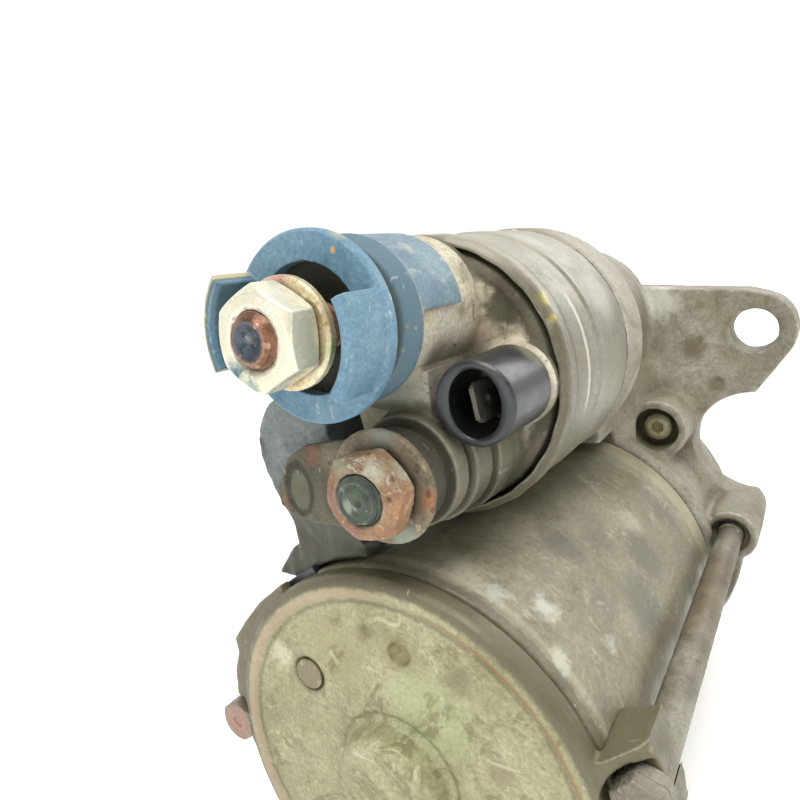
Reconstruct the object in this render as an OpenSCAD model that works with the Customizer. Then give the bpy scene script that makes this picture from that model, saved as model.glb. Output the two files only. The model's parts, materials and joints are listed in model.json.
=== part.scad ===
// Gear-reduction starter motor with a piggy-back solenoid.
// +X points along the output shaft towards the pinion nose, +Z from the motor axis to the
// solenoid axis. The origin is the centre of the mounting pilot on the flange's front face.

/* [Motor] */
// Outer radius of the yoke tube
yoke_r = 37.3; // [36:0.1:38]
// Wall thickness of the yoke tube
yoke_wall = 3; // [2.5:0.1:3.2]
// Height of the solenoid axis above the motor axis
sol_z = 64.8; // [64:0.1:66]
/* [Solenoid] */
// Radius of the solenoid case where it sits in the housing
case_r = 26; // [25.8:0.1:26.2]
// Radius of the terminal studs (M8)
stud_r = 4; // [3:0.5:4]
/* [Mounting] */
// Thickness of the mounting flange
flange_t = 10.4; // [8:0.1:12]
// Radius of the mounting holes
hole_r = 5.5; // [4:0.25:6]
// Radius of the mounting pilot
pilot_r = 38; // [37:0.25:39]
/* [Drive] */
// Teeth on the pinion
pinion_teeth = 10; // [9:1:11]
// Module of the pinion teeth
pinion_m = 2.5; // [2.3:0.1:2.6]
/* [Colours] */
// Colour of the terminal guard
guard_colour = "#5f93bd"; // [#5f93bd, #4f7fa8, #3f3f42]
// Colour of the castings
cast_colour = "#a39f90"; // [#a39f90, #b0b0aa]

/* [Hidden] */
fn = 96;

// stations along X
x_rear = -122.3;        // rear face of the motor
x_yoke0 = -118.2;       // rear end of the yoke tube
x_yoke1 = -32.7;        // front end of the yoke tube
x_face = -98;           // face of the solenoid cap
x_can0 = -95.5;         // rear rim of the solenoid case
x_can1 = -48;           // front end of the solenoid case

// terminal positions (y, z)
bt = [0, sol_z + 14];
mt = [-4.8, sol_z - 11.4];
st = [-17.8, sol_z - 0.2];
// mounting holes (y, z)
h1 = [-45.5, 59.5];
h2 = [46, -32];
// through-bolt axes (y, z)
tb = [[-40.6, 9], [41.6, -3]];
// lever pivot and fork
piv = [-6.5, 35.6];
fork_x = -4;
// gear set
gm = 1.5; ns = 12; np = 12; nr = 36;
car_r = gm * (ns + np) / 2;
phis = [90, 210, 330];

module xcyl(x0, x1, r, y = 0, z = 0, f = fn)
  translate([x0, y, z]) rotate([0, 90, 0]) cylinder(h = x1 - x0, r = r, $fn = f);
module xrev(pts, y = 0, z = 0, f = fn)
  translate([0, y, z]) rotate([0, 90, 0]) rotate_extrude($fn = f)
    polygon([for (p = pts) [p[1], p[0]]]);
module xext(x0, x1) translate([x0, 0, 0]) rotate([90, 0, 90]) linear_extrude(x1 - x0) children();
module yext(y0, y1) translate([0, y1, 0]) rotate([90, 0, 0]) linear_extrude(y1 - y0) children();
module box(x0, x1, y0, y1, z0, z1) translate([x0, y0, z0]) cube([x1 - x0, y1 - y0, z1 - z0]);
module hexnut(x0, x1, af, y, z, rot, hole) difference() {
  intersection() {
    translate([x0, y, z]) rotate([rot, 0, 0]) rotate([0, 90, 0]) cylinder(h = x1 - x0, r = af / sqrt(3), $fn = 6);
    xrev([[x0, 0], [x0, af * 0.49], [x0 + af * 0.1, af * 0.585], [x1, af * 0.585], [x1, 0]], y, z);
  }
  if (hole > 0) xcyl(x0 - 1, x1 + 1, hole, y, z);
}

// involute teeth: half angle of a tooth at radius r
function inva(a) = tan(a) * 180 / PI - a;
function half(n, m, r, pa, bl) = let (rb = n * m / 2 * cos(pa), rr = max(r, rb + 0.001))
  90 / n - bl / (n * m) * 180 / PI + inva(pa) - inva(acos(rb / rr));
function pol(r, a) = [r * cos(a), r * sin(a)];
function gear_pts(n, m, ro, rr, pa, bl, rot) = let (rb = n * m / 2 * cos(pa), ri = max(rr, rb),
    rs = [ri, ri + (ro - ri) * 0.5, ro])
  [for (i = [0:n - 1]) let (a = rot + i * 360 / n) each concat(
    rr < rb - 0.05 ? [pol(rr, a - half(n, m, rb, pa, bl))] : [],
    [for (r = rs) pol(r, a - half(n, m, r, pa, bl))],
    [for (k = [2:-1:0]) pol(rs[k], a + half(n, m, rs[k], pa, bl))],
    rr < rb - 0.05 ? [pol(rr, a + half(n, m, rb, pa, bl))] : [])];
module gear2d(n, m, ro, rr, pa, bl, rot) polygon(gear_pts(n, m, ro, rr, pa, bl, rot));

// ---------------------------------------------------------------- housing
module flange2d() difference() {
  union() {
    circle(r = 42, $fn = fn);
    translate(h1) circle(r = 9.9, $fn = 48);
    polygon([[-46.5, 69.6], [-44, 70.3], [-17, 73.2], [20, 73.2], [31, 60], [38, 20], [0, -20],
      [-38, -8], [-38, 12], [-45, 14], [-45.7, 43], [-54.2, 54.6]]);
    translate(tb[0]) circle(r = 6.6, $fn = 48);
    translate([-34.4, 2]) circle(r = 9.6, $fn = 48);
    translate(h2) circle(r = 10, $fn = 48);
    polygon([[54.6, -27], [38, 8], [10, 10], [0, -42], [12, -40.2], [42, -41.2]]);
    translate(tb[1]) circle(r = 7.0, $fn = 48);
  }
  translate([-45, 28.5]) circle(r = 14.5, $fn = 64);
}
module drive_housing() color(cast_colour) difference() {
  union() {
    xext(-flange_t, 0) flange2d();
    // gear case, with a rounded ridge at its rear edge
    xrev([[x_yoke1, 0], [x_yoke1, 37.2], [x_yoke1 + 0.8, 38.4], [x_yoke1 + 3, 38.9],
      [x_yoke1 + 5.5, 38.4], [x_yoke1 + 7.5, 37.6], [-13, 37.6], [-flange_t, 39.6], [-5, 39.6], [-5, 0]]);
    // pilot and nose
    xrev([[-1, 0], [-1, pilot_r], [4.4, pilot_r], [5, pilot_r - 0.6], [5, 36.6], [13, 36.6], [16, 35.8],
      [30, 26.5], [34, 23.5], [48, 20.5], [56, 16], [60, 14], [61.5, 12], [61.5, 0]]);
    // solenoid seat and neck
    xrev([[-60, 0], [-60, 26.6], [-59.4, 27.0], [-48.5, 27.0], [-46, 26.2], [-44.3, 24.4], [-42, 20.5],
      [-9, 20.5], [-9, 0]], 0, sol_z);
    box(-46, -8, -15, 15, 38, sol_z - 6);
    box(-32.7, -8, -15, 15, 24, 50);
    // ramp from the neck to the flange on the open side
    hull() {
      xext(-32, -31.9) polygon([[-15, 34], [-15, 54], [0, 54], [0, 34]]);
      xext(-9.1, -9) polygon([[-24, 30], [-22, 52], [-16, 62], [0, 62], [0, 26], [-12, 26]]);
    }
    // bosses that take the through-bolts
    xcyl(-26, -8, 6.6, tb[0][0], tb[0][1]);
    xcyl(-26, -8, 6.6, tb[1][0], tb[1][1]);
    // screw boss
    xcyl(-22, -8, 8.2, -22.6, 35.4);
    // lever pin bosses
    yext(-24, 24) translate(piv) circle(r = 6.4, $fn = 48);
  }
  // bore for the solenoid case
  xcyl(-61, -48, case_r + 0.05, 0, sol_z);
  // way for the plunger rod
  xcyl(-49, -40, 9.9, 0, sol_z);
  // lever chamber
  box(-43, -3, -9, 9, 44, 73);
  box(-16, -1.5, -9, 9, 24, 73);
  // gear case bore, plate seat and clutch bay
  xcyl(-33, -12, 34, 0, 0);
  xrev([[-12.5, 0], [-12.5, 33], [12, 33], [29, 21.6], [30.4, 17.6], [48.6, 17.6], [48.6, 0]]);
  // window for the flywheel teeth
  box(17, 47.6, -40, 40, -40, -3);
  // bush bore, blind
  xcyl(48, 59, 9.5);
  // yoke spigot relief under the case edge and through-bolt channels
  xcyl(-40, -26, 3.6, tb[0][0], tb[0][1]);
  xcyl(-40, -26, 3.6, tb[1][0], tb[1][1]);
  // lead-in round each through-bolt, then its threaded hole
  for (t = tb) { xcyl(-26.1, -24, 4.4, t[0], t[1]); xcyl(-26, -6, 3.0, t[0], t[1]); }
  // lever pin hole
  yext(-19.6, 21) translate(piv) circle(r = 3.0, $fn = 48);
  // mounting holes
  for (h = [h1, h2]) xcyl(-12, 1, hole_r, h[0], h[1]);
  // recess and hole of the small screw
  xcyl(-23, -15, 5.7, -22.6, 35.4);
  xcyl(-16, -2, 2.5, -22.6, 35.4);
  // solenoid screws
  for (a = [60, 180, 300]) xcyl(-49, -40, 2.6, 15 * cos(a), sol_z + 15 * sin(a));
  for (a = [60, 180, 300]) xcyl(-44.5, 1, 3.8, 15 * cos(a), sol_z + 15 * sin(a));
  // through-bolt hole ring clearance to the yoke end
  xcyl(-61, x_yoke1, 37.45);
}
module nose_bush() color("#b08a4a") difference() { xcyl(48.8, 58.8, 9.5); xcyl(48, 60, 7.05); }
module lever_pin() color("#8d8d8a") yext(-19.4, 21) translate(piv) circle(r = 3.0, $fn = 48);
module centre_plate() color("#8f8e88") difference() {
  xrev([[-16, 7.06], [-16, 34], [-12.6, 34], [-12.6, 11], [-11.6, 11], [-11.6, 7.06]]);
}
module gear_shield() color("#96958e") xrev([[-33.2, 11.4], [-33.2, 33.9], [-31.8, 33.9], [-31.8, 11.4]]);
module ring_gear() color("#3a3c3c") difference() {
  xcyl(-31.5, -17.5, 33.9);
  xext(-32, -20.9) gear2d(nr, gm, 28.95, 25.75, 25, -0.18, 180 / nr);
  xcyl(-21, -17, 29.2);
}

// ---------------------------------------------------------------- motor
module yoke() color("#8a8672") difference() {
  xrev([[x_yoke0, yoke_r - yoke_wall], [x_yoke0, yoke_r - 0.5], [x_yoke0 + 0.5, yoke_r],
    [x_yoke1 - 0.5, yoke_r], [x_yoke1, yoke_r - 0.5], [x_yoke1, yoke_r - yoke_wall]]);
  // notch for the lead grommet
  rotate([-32.5, 0, 0]) box(x_yoke0 - 1, x_yoke0 + 9.2, -4.6, 4.6, 30, 40);
}
module magnets() color("#4a4a4c") for (i = [0:5]) rotate([30 + i * 60, 0, 0])
  rotate([0, 90, 0]) translate([0, 0, -96]) rotate([0, 0, -23]) rotate_extrude(angle = 46, $fn = fn)
    polygon([[27.8, 0], [34.2, 0], [34.2, 52], [27.8, 52]]);
module rear_cover() color("#a7a37c") difference() {
  union() {
    xrev([[-122.3, 12], [-122.3, 33.2], [-122.9, 33.9], [-122.9, 35.4], [-122.4, 36.6], [-121.4, 37.3],
      [-118.9, 37.3], [-118.9, 36.9], [-118.3, 36.9], [-118.3, 34.1], [-114, 34.1], [-114, 32.6], [-120.3, 32.6], [-120.3, 12]]);
    // bearing pocket
    xrev([[-127, 0], [-127, 8.6], [-126.2, 9.8], [-122.6, 10.4], [-121, 13], [-118, 13], [-118, 8], [-125, 8], [-125, 0]]);
    // ears that reach forward over the yoke and take the through-bolts
    for (t = tb) rotate([atan2(t[1], t[0]), 0, 0]) rotate([0, 90, 0]) rotate([0, 0, 80])
      rotate_extrude(angle = 20, $fn = fn)
        polygon([[34, -120.3], [37.2, -121.6], [38.6, -120.9], [43.2, -118.2], [44.4, -116.6], [44.4, -108], [37.42, -108], [37.42, -118.5], [34, -118.9]]);
    // gusset between the left ear and the lead
    difference() {
      xext(-121.2, -117.6) polygon([[40.6, 3.5], [39.8, 9.6], [37.8, 14.2], [38.2, 17.0], [34.8, 21.0], [29.0, 26.8], [23.0, 31.2], [20, 28], [34, 3.5]]);
      xcyl(-118.95, -117, 37.42);
      xcyl(-122, -118.9, 36.9);
    }
  }
  // counterbores and bolt holes in the ears
  for (t = tb) { xcyl(-124, -116.5, 5.4, t[0], t[1]); xcyl(-124, -105, 3.1, t[0], t[1]); }
  // recessed screw holes and a vent
  xcyl(-123, -121.4, 3.3, 17.6, 15.2);
  xcyl(-123, -121.4, 3.3, -17.6, -15.2);
  for (s = [1, -1]) xcyl(-122, -119, 2, s * 17.6, s * 15.2);
  xcyl(-123, -121.2, 2.1, -3.4, 24.3);
  // notch for the lead grommet
  rotate([-32.5, 0, 0]) box(-118.4, -113, -5.8, 5.8, 30, 40);
}
module rear_bush() color("#b08a4a") difference() { xcyl(-124.8, -118.2, 8); xcyl(-126, -117, 4.55); }
module brush_plate() color("#5b4a38") {
  difference() {
    xcyl(-112.5, -110.5, 31.6);
    xcyl(-113, -110, 15);
    for (s = [1, -1]) xcyl(-113, -110, 2.1, s * 17.6, s * 15.2);
  }
  for (a = [0, 90, 180, 270]) rotate([a, 0, 0]) difference() {
    box(-110.5, -100.5, -5, 5, 16, 31);
    box(-109.4, -101.6, -3.9, 3.9, 15, 29.8);
  }
}
module cover_screws() color("#8d8c80") for (s = [1, -1]) {
  xcyl(-122.4, -121.4, 2.9, s * 17.6, s * 15.2);
  xcyl(-121.4, -110.6, 1.95, s * 17.6, s * 15.2);
}
module through_bolts() color("#8f8a7c") for (t = tb) {
  hexnut(-121.6, -116.6, 8, t[0], t[1], atan2(t[1], t[0]), 0);
  xcyl(-116.7, -8, 2.98, t[0], t[1], 48);
}
module housing_screw() color("#b7a650") { difference() {
    xrev([[-19, 0], [-19, 2.6], [-18.2, 3.6], [-15.1, 3.6], [-15.1, 0]], -22.6, 35.4);
    translate([-20, -22.6, 35.4]) rotate([0, 90, 0]) cylinder(h = 2.6, r = 1.7, $fn = 6);
  }
  xcyl(-15.1, -3, 2.45, -22.6, 35.4, 48); }

// ---------------------------------------------------------------- solenoid
module solenoid_case() color("#9b9788") xrev([
  [-97.2, 24.7], [-97.2, 25.4], [-96.6, 26.3], [-95.3, 26.7], [-92.6, 26.5], [-91.6, 26.0], [-90, 26.1],
  [-79.5, 26.2], [-78.6, 26.6], [-60.6, 26.6], [-60.2, case_r], [-49.2, case_r], [-48.2, case_r - 0.8], [-48.2, 10.4], [-50.2, 10.4], [-50.2, 25.1], [-93.8, 25.1],
  [-95.2, 24.7]], 0, sol_z);
module solenoid_cap() color("#b3a68c") difference() {
  union() {
    xrev([[-98, 0], [-98, 22.6], [-97.3, 23.8], [-95.4, 24.3], [-94.2, 24.6], [-93.5, 25.0], [-84, 25.0], [-84, 0]], 0, sol_z);
    // post of the battery terminal
    xrev([[-125.4, 0], [-125.4, 10.4], [-124.8, 11.0], [-121.7, 11.1], [-121.7, 9.4], [-119.2, 9.4], [-119.2, 11.6], [-105, 11.9], [-101, 12.3], [-97.4, 12.6], [-97.4, 0]], bt[0], bt[1]);
    // stepped post of the motor terminal
    xrev([[-120, 0], [-120, 8.2], [-116.4, 8.2], [-116.4, 7.3], [-115.5, 7.3], [-115.5, 9.6], [-111.4, 9.6], [-111.4, 8.6], [-110.5, 8.6], [-110.5, 10.6], [-104.9, 10.6], [-104.9, 9.6], [-104, 9.6],
      [-104, 11.6], [-97.4, 11.8], [-97.4, 0]], mt[0], mt[1]);
    // base of the signal terminal
    xrev([[-100.5, 0], [-100.5, 6.4], [-99.6, 7.4], [-97.45, 7.4], [-97.45, 0]], st[0], st[1]);
    // wall between the two posts
    xext(-112.5, -97) polygon([[-9, 61.5], [8, 64], [8, 70], [-9, 69.5]]);
  }
  // seat of the signal shroud
  xcyl(-116, -100.55, 7.0, st[0], st[1]);
  // contact chamber
  xcyl(-93.2, -83, 21.6, 0, sol_z);
  xcyl(-96.4, -93, 4.0, 0, sol_z);
  xcyl(-130, -90, stud_r, bt[0], bt[1]);
  xcyl(-130, -90, stud_r, mt[0], mt[1]);
  xcyl(-101, -92, 2.0, st[0], st[1]);
  // small round mark of the moulding
  translate([-98.01, -11, sol_z + 12]) rotate([0, 90, 0]) difference() { cylinder(h = 0.5, r = 2.6, $fn = 48); translate([0, 0, -1]) cylinder(h = 3, r = 1.7, $fn = 48); }
}
module solenoid_core() color("#8b8b86") difference() {
  xrev([[-83.8, 0], [-83.8, 25.0], [-80.8, 25.0], [-80.8, 9.4], [-74, 9.4], [-74, 0]], 0, sol_z);
  xcyl(-85, -73, 2.4, 0, sol_z);
  // pocket of the return spring
  xcyl(-80.4, -73, 6.9, 0, sol_z);
}
module coil_bobbin() color("#3d3d3f") xrev([[-80.6, 9.9], [-80.6, 24.6], [-79.2, 24.6], [-79.2, 11.2], [-51.8, 11.2], [-51.8, 24.6],
  [-50.4, 24.6], [-50.4, 9.9]], 0, sol_z);
module coil_winding() color("#b06a3c") xrev([[-79, 11.4], [-79, 23.6], [-52, 23.6], [-52, 11.4]], 0, sol_z);
module solenoid_screws() color("#8f8f8a") for (a = [60, 180, 300]) {
  xcyl(-44.4, -40.6, 3.7, 15 * cos(a), sol_z + 15 * sin(a));
  xcyl(-47.9, -44.4, 2.5, 15 * cos(a), sol_z + 15 * sin(a), 48);
}
module battery_stud() color("#b5785a") {
  xrev([[-140.4, 0], [-140.4, 2.9], [-139.3, stud_r], [-92.9, stud_r], [-92.9, 0]], bt[0], bt[1]);
  xcyl(-93.1, -90.4, 6.5, bt[0], bt[1]);
}
module battery_washer() color("#c9a06a") difference() { xcyl(-133.6, -131.9, 8.05, bt[0], bt[1]); xcyl(-135, -131, stud_r + 0.2, bt[0], bt[1]); }
module battery_nut() color("#d9d2b0") hexnut(-139.4, -133.6, 13, bt[0], bt[1], 4, stud_r);
module terminal_guard() color(guard_colour) difference() {
  union() {
    xrev([[-128.6, 9.5], [-128.6, 13.7], [-128.2, 14.05], [-126.6, 14.05], [-126.2, 13.7], [-126.2, 9.5]], bt[0], bt[1]);
    // two curved walls standing towards the nut
    for (a = [0, 1]) translate([0, bt[0], bt[1]]) rotate([a == 0 ? 11 : 191, 0, 0])
      rotate([0, 90, 0]) translate([0, 0, -136.2]) rotate([0, 0, 58]) rotate_extrude(angle = 64, $fn = fn)
        polygon([[11.2, 0.8], [11.9, 0], [12.8, 0], [13.5, 0.8], [13.5, 8.4], [11.2, 8.4]]);
  }
}
module guard_sleeve() color(guard_colour) union() {
  xrev([[-121.6, 9.5], [-121.6, 11.8], [-121.4, 12.0], [-118.9, 13.1], [-118.4, 13.1], [-117.6, 12.9], [-117.6, 11.8], [-119.3, 11.8], [-119.3, 9.5]], bt[0], bt[1]);
  // skirt over the upper side of the post
  translate([0, bt[0], bt[1]]) rotate([0, 90, 0]) translate([0, 0, -117.8]) rotate([0, 0, 92]) rotate_extrude(angle = 176, $fn = fn)
    polygon([[11.95, 0], [12.9, 0], [12.9, 12.4], [11.95, 12.4]]);
}
module motor_stud() color("#7f877a") {
  xrev([[-130.3, 0], [-130.3, 2.0], [-129.6, 2.7], [-129.4, 3.4], [-128.6, stud_r], [-92.9, stud_r], [-92.9, 0]], mt[0], mt[1]);
  xcyl(-93.1, -90.4, 6.5, mt[0], mt[1]);
}
module motor_washer() color("#9aa092") difference() { xcyl(-122.9, -121.6, 9.4, mt[0], mt[1]); xcyl(-124, -120, stud_r + 0.2, mt[0], mt[1]); }
module motor_nut() color("#b0704a") hexnut(-128.6, -122.9, 13, mt[0], mt[1], 20, stud_r);
module lead_lug() color("#77705c") difference() {
  union() {
    xcyl(-121.6, -120, 8.6, mt[0], mt[1]);
    xext(-121.6, -120) polygon([[-4.8, 61.5], [11, 59], [15, 56.8], [17.4, 53], [17.6, 48.2], [16.2, 46], [10, 45.2], [-4.8, 45.2]]);
    // crimped barrel turned back towards the boot
    xext(-120.1, -108) polygon([[15.0, 52.8], [18.4, 53.2], [20.2, 50.5], [19.8, 47], [17.6, 46.6], [15.6, 48.4]]);
  }
  xcyl(-123, -118, stud_r + 0.2, mt[0], mt[1]);
}
module lead_boot() color("#7d8280") difference() {
  xext(-117.4, -106.6) polygon([[9.6, 66.4], [14.4, 68.0], [19.6, 67.0], [23.0, 64.4], [25.6, 60.6], [26.4, 56.4], [25.2, 51.0], [23.2, 46.6], [21.0, 42.4],
    [20.2, 39.4], [21.0, 36.4], [24, 31], [4, 31], [4.2, 40], [6.2, 42.6], [7.4, 46], [7.9, 50], [8.1, 56], [9.2, 60]]);
  // seat of the lug's barrel
  xext(-119, -107.9) polygon([[13.5, 53.6], [19.0, 53.8], [20.8, 50.7], [20.4, 46.6], [18.0, 46.2], [13.5, 48]]);
  xcyl(-125, -100, 37.75);
  rotate([-32.5, 0, 0]) box(-119, -105, -4.7, 4.7, 30, 38.6);
}
module lead_grommet() color("#2f3030") rotate([-32.5, 0, 0]) union() {
  box(-118.1, -109.2, -4.5, 4.5, 33.2, 38.4);
  box(-117.6, -108.6, -5.6, 5.6, 31.8, 33.6);
}
module signal_shroud() color("#2b2c2f") difference() {
  xrev([[-114.3, 5.4], [-114.6, 5.7], [-114.6, 6.3], [-114.2, 6.7], [-100.6, 6.9], [-100.6, 0], [-103, 0], [-103, 5.4]], st[0], st[1]);
  xcyl(-104, -100, 2.0, st[0], st[1]);
}
module signal_blade() color("#b9b5a2") difference() {
  union() {
    xcyl(-103.4, -92.2, 1.95, st[0], st[1], 48);
    translate([-114.3, st[0], st[1]]) rotate([-8, 0, 0]) rotate([90, 0, 0]) translate([0, 0, -0.4]) linear_extrude(0.8)
      polygon([[0, -2.4], [1.2, -3.15], [11, -3.15], [11, 3.15], [1.2, 3.15], [0, 2.4]]);
  }
  translate([-110.6, st[0], st[1]]) rotate([82, 0, 0]) translate([0, 0, -3]) cylinder(h = 6, r = 0.9, $fn = 32);
}
module return_spring() color("#9a9a96") xrev([[-80.3, 4.2], [-80.3, 6.6], [-64.8, 6.6], [-64.8, 4.2]], 0, sol_z);
module contact_spring() color("#9a9a96") xrev([[-96.3, 2.4], [-96.3, 3.6], [-89.2, 3.6], [-89.2, 2.4]], 0, sol_z);
module brush_springs() color("#9a9a96") for (a = [0, 90, 180, 270]) rotate([a, 0, 0])
  translate([-105.5, 0, 24.2]) difference() { cylinder(h = 5.5, r = 2.8, $fn = 48); translate([0, 0, -1]) cylinder(h = 8, r = 1.9, $fn = 48); }

// ---------------------------------------------------------------- armature
module armature_shaft() color("#a8a8a4") xrev([[-124.4, 0], [-124.4, 3.9], [-123.8, 4.5], [-117, 4.5], [-117, 6], [-34.5, 6], [-34.5, 5.6], [-21.4, 5.6], [-21.4, 2.96], [-15, 2.96], [-15, 0]]);
module armature_core() color("#7f7d78") difference() {
  xcyl(-90, -50, 27.2);
  xcyl(-91, -49, 6);
  for (i = [0:17]) rotate([i * 20, 0, 0]) box(-91, -49, -0.9, 0.9, 24.4, 30);
}
module armature_winding() color("#a8683a") {
  xrev([[-98.2, 6.1], [-98.2, 20], [-95, 24.6], [-90.1, 24.6], [-90.1, 6.1]]);
  xrev([[-49.9, 6.1], [-49.9, 24.6], [-44, 24], [-40, 18], [-40, 6.1]]);
}
module commutator() color("#b5764c") difference() {
  xcyl(-112, -98.4, 14);
  xcyl(-113, -97, 6);
  for (i = [0:17]) rotate([i * 20 + 10, 0, 0]) box(-113, -97, -0.3, 0.3, 12.4, 16);
}
module sun_gear() color("#8f8f8c") difference() {
  xext(-30, -21.6) gear2d(ns, gm, 10.35, 7.25, 25, 0.18, 0);
  xcyl(-31, -20, 5.6);
}

// ---------------------------------------------------------------- reduction and drive
module output_shaft() color("#a3a39f") difference() {
  union() {
    xcyl(-20.4, -16.7, 23.6);
    xcyl(-17, 58.4, 7);
  }
  xcyl(-21, -14.6, 3.02);
  for (p = phis) xcyl(-21, -16, 2.5, car_r * cos(p), car_r * sin(p));
}
module planet_pins() color("#b0b0ac") for (p = phis) xcyl(-30.6, -16.8, 2.5, car_r * cos(p), car_r * sin(p), 48);
module stop_ring() color("#8d8d88") difference() { xcyl(45.6, 48.2, 10.4); xcyl(45, 49, 7); }
module planet(i) translate([0, car_r * cos(phis[i]), car_r * sin(phis[i])]) difference() {
  xext(-30, -21) gear2d(np, gm, 10.3, 7.25, 25, 0.18, 2 * phis[i] + 195);
  xcyl(-31, -20, 2.55);
}
module planet_gear_1() color("#8b8b86") planet(0);
module planet_gear_2() color("#8b8b86") planet(1);
module planet_gear_3() color("#8b8b86") planet(2);
module clutch_sleeve() color("#9c9a92") xrev([[-10, 7.06], [-10, 14.3], [-7.5, 14.3], [-7.5, 10.2], [-0.5, 10.2], [-0.5, 14.3], [1.6, 14.3], [1.6, 10.2], [4.4, 10.2], [4.4, 7.06]]);
module clutch_shell() color("#a9a79e") xrev([[1.8, 10.4], [1.8, 19], [2.8, 20], [15.6, 20], [16.6, 19], [16.6, 12.4], [14.6, 12.4], [14.6, 16], [4.8, 16], [4.8, 10.4]]);
module clutch_rollers() color("#c0c0bc") for (i = [0:5]) xcyl(5.4, 14.2, 1.65, 14.1 * cos(i * 60), 14.1 * sin(i * 60), 48);
module pinion() color("#b3b2ab") difference() {
  union() {
    xcyl(5.2, 18, 12.05);
    intersection() {
      xext(18, 34) gear2d(pinion_teeth, pinion_m, pinion_m * (pinion_teeth + 2) / 2, pinion_m * (pinion_teeth - 2.2) / 2, 20, 0.1, 0);
      xrev([[17, 0], [17, 16.5], [31.4, 16.5], [34, 13.4], [34, 0]]);
    }
  }
  xcyl(4, 35, 7.06);
}
module shift_lever() color("#6f6e68") difference() {
  union() {
    // upper arm and tip
    yext(-2.9, 2.9) polygon([[-11.0, 64.2], [-8.0, 64.8], [-5.4, 52], [-3.4, 36], [-9.8, 36], [-9.6, 52]]);
    yext(-2.9, 2.9) translate([-9.5, sol_z]) circle(r = 3, $fn = 48);
    yext(-7.4, 7.4) translate(piv) circle(r = 4.6, $fn = 48);
    // yoke of the fork
    yext(-7.4, 7.4) polygon([[-10.0, 35], [-3.0, 35], [-2.6, 22], [-9.8, 22]]);
    yext(-18.2, 18.2) polygon([[-9.8, 25.2], [-2.4, 25.2], [-2.2, 21.0], [-9.6, 21.0]]);
    for (s = [1, -1]) scale1(s) {
      yext(15.2, 18.2) polygon([[-9.6, 24.8], [-2.2, 24.8], [-1.3, 0], [-6.7, 0]]);
      yext(15.2, 18.2) translate([fork_x, 0]) circle(r = 2.9, $fn = 48);
      yext(10.9, 15.4) translate([fork_x, 0]) circle(r = 2.9, $fn = 48);
    }
  }
  yext(-20, 20) translate(piv) circle(r = 3.05, $fn = 48);
}
module scale1(s) if (s > 0) children(); else mirror([0, 1, 0]) children();
module plunger() color("#b8b7b0") difference() {
  xrev([[-64.6, 0], [-64.6, 8.6], [-63.8, 9.4], [-46.4, 9.4], [-46.4, 6.2], [-46.2, 0]], 0, sol_z);
  xcyl(-60, -45, 4, 0, sol_z);
}
module plunger_rod() color("#8d8c86") difference() {
  union() {
    xcyl(-59.8, -46, 3.98, 0, sol_z, 48);
    xcyl(-46, -4.2, 6.4, 0, sol_z);
  }
  // slot for the lever tip
  box(-13.1, -5.9, -3.4, 3.4, sol_z - 8, sol_z + 8);
  box(-16, -3, -8, 8, sol_z - 8, sol_z - 3.2);
}
module contact_disc() color("#b5784e") {
  difference() { xcyl(-87.1, -85.1, 17.5, 0, sol_z); xcyl(-88, -84, 2.2, 0, sol_z); }
  xcyl(-89.1, -70.9, 2.2, 0, sol_z, 48);
}
module brush(a) color("#3a3836") rotate([a, 0, 0]) difference() {
  box(-109, -102, -3.5, 3.5, 14.2, 23.8);
  xcyl(-110, -101, 14.3);
}
module brush_1() brush(0);
module brush_2() brush(90);
module brush_3() brush(180);
module brush_4() brush(270);

drive_housing();
nose_bush();
lever_pin();
centre_plate();
gear_shield();
ring_gear();
yoke();
magnets();
rear_cover();
rear_bush();
brush_plate();
cover_screws();
through_bolts();
housing_screw();
solenoid_case();
solenoid_cap();
solenoid_core();
coil_bobbin();
coil_winding();
solenoid_screws();
battery_stud();
battery_washer();
battery_nut();
terminal_guard();
guard_sleeve();
motor_stud();
motor_washer();
motor_nut();
lead_lug();
lead_boot();
lead_grommet();
signal_shroud();
signal_blade();
return_spring();
contact_spring();
brush_springs();
armature_shaft();
armature_core();
armature_winding();
commutator();
sun_gear();
output_shaft();
planet_pins();
stop_ring();
planet_gear_1();
planet_gear_2();
planet_gear_3();
clutch_sleeve();
clutch_shell();
clutch_rollers();
pinion();
shift_lever();
plunger();
plunger_rod();
contact_disc();
brush_1();
brush_2();
brush_3();
brush_4();
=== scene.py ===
import bpy
import bmesh
import json
import math
import numpy as np
from mathutils import Vector, Matrix

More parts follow.
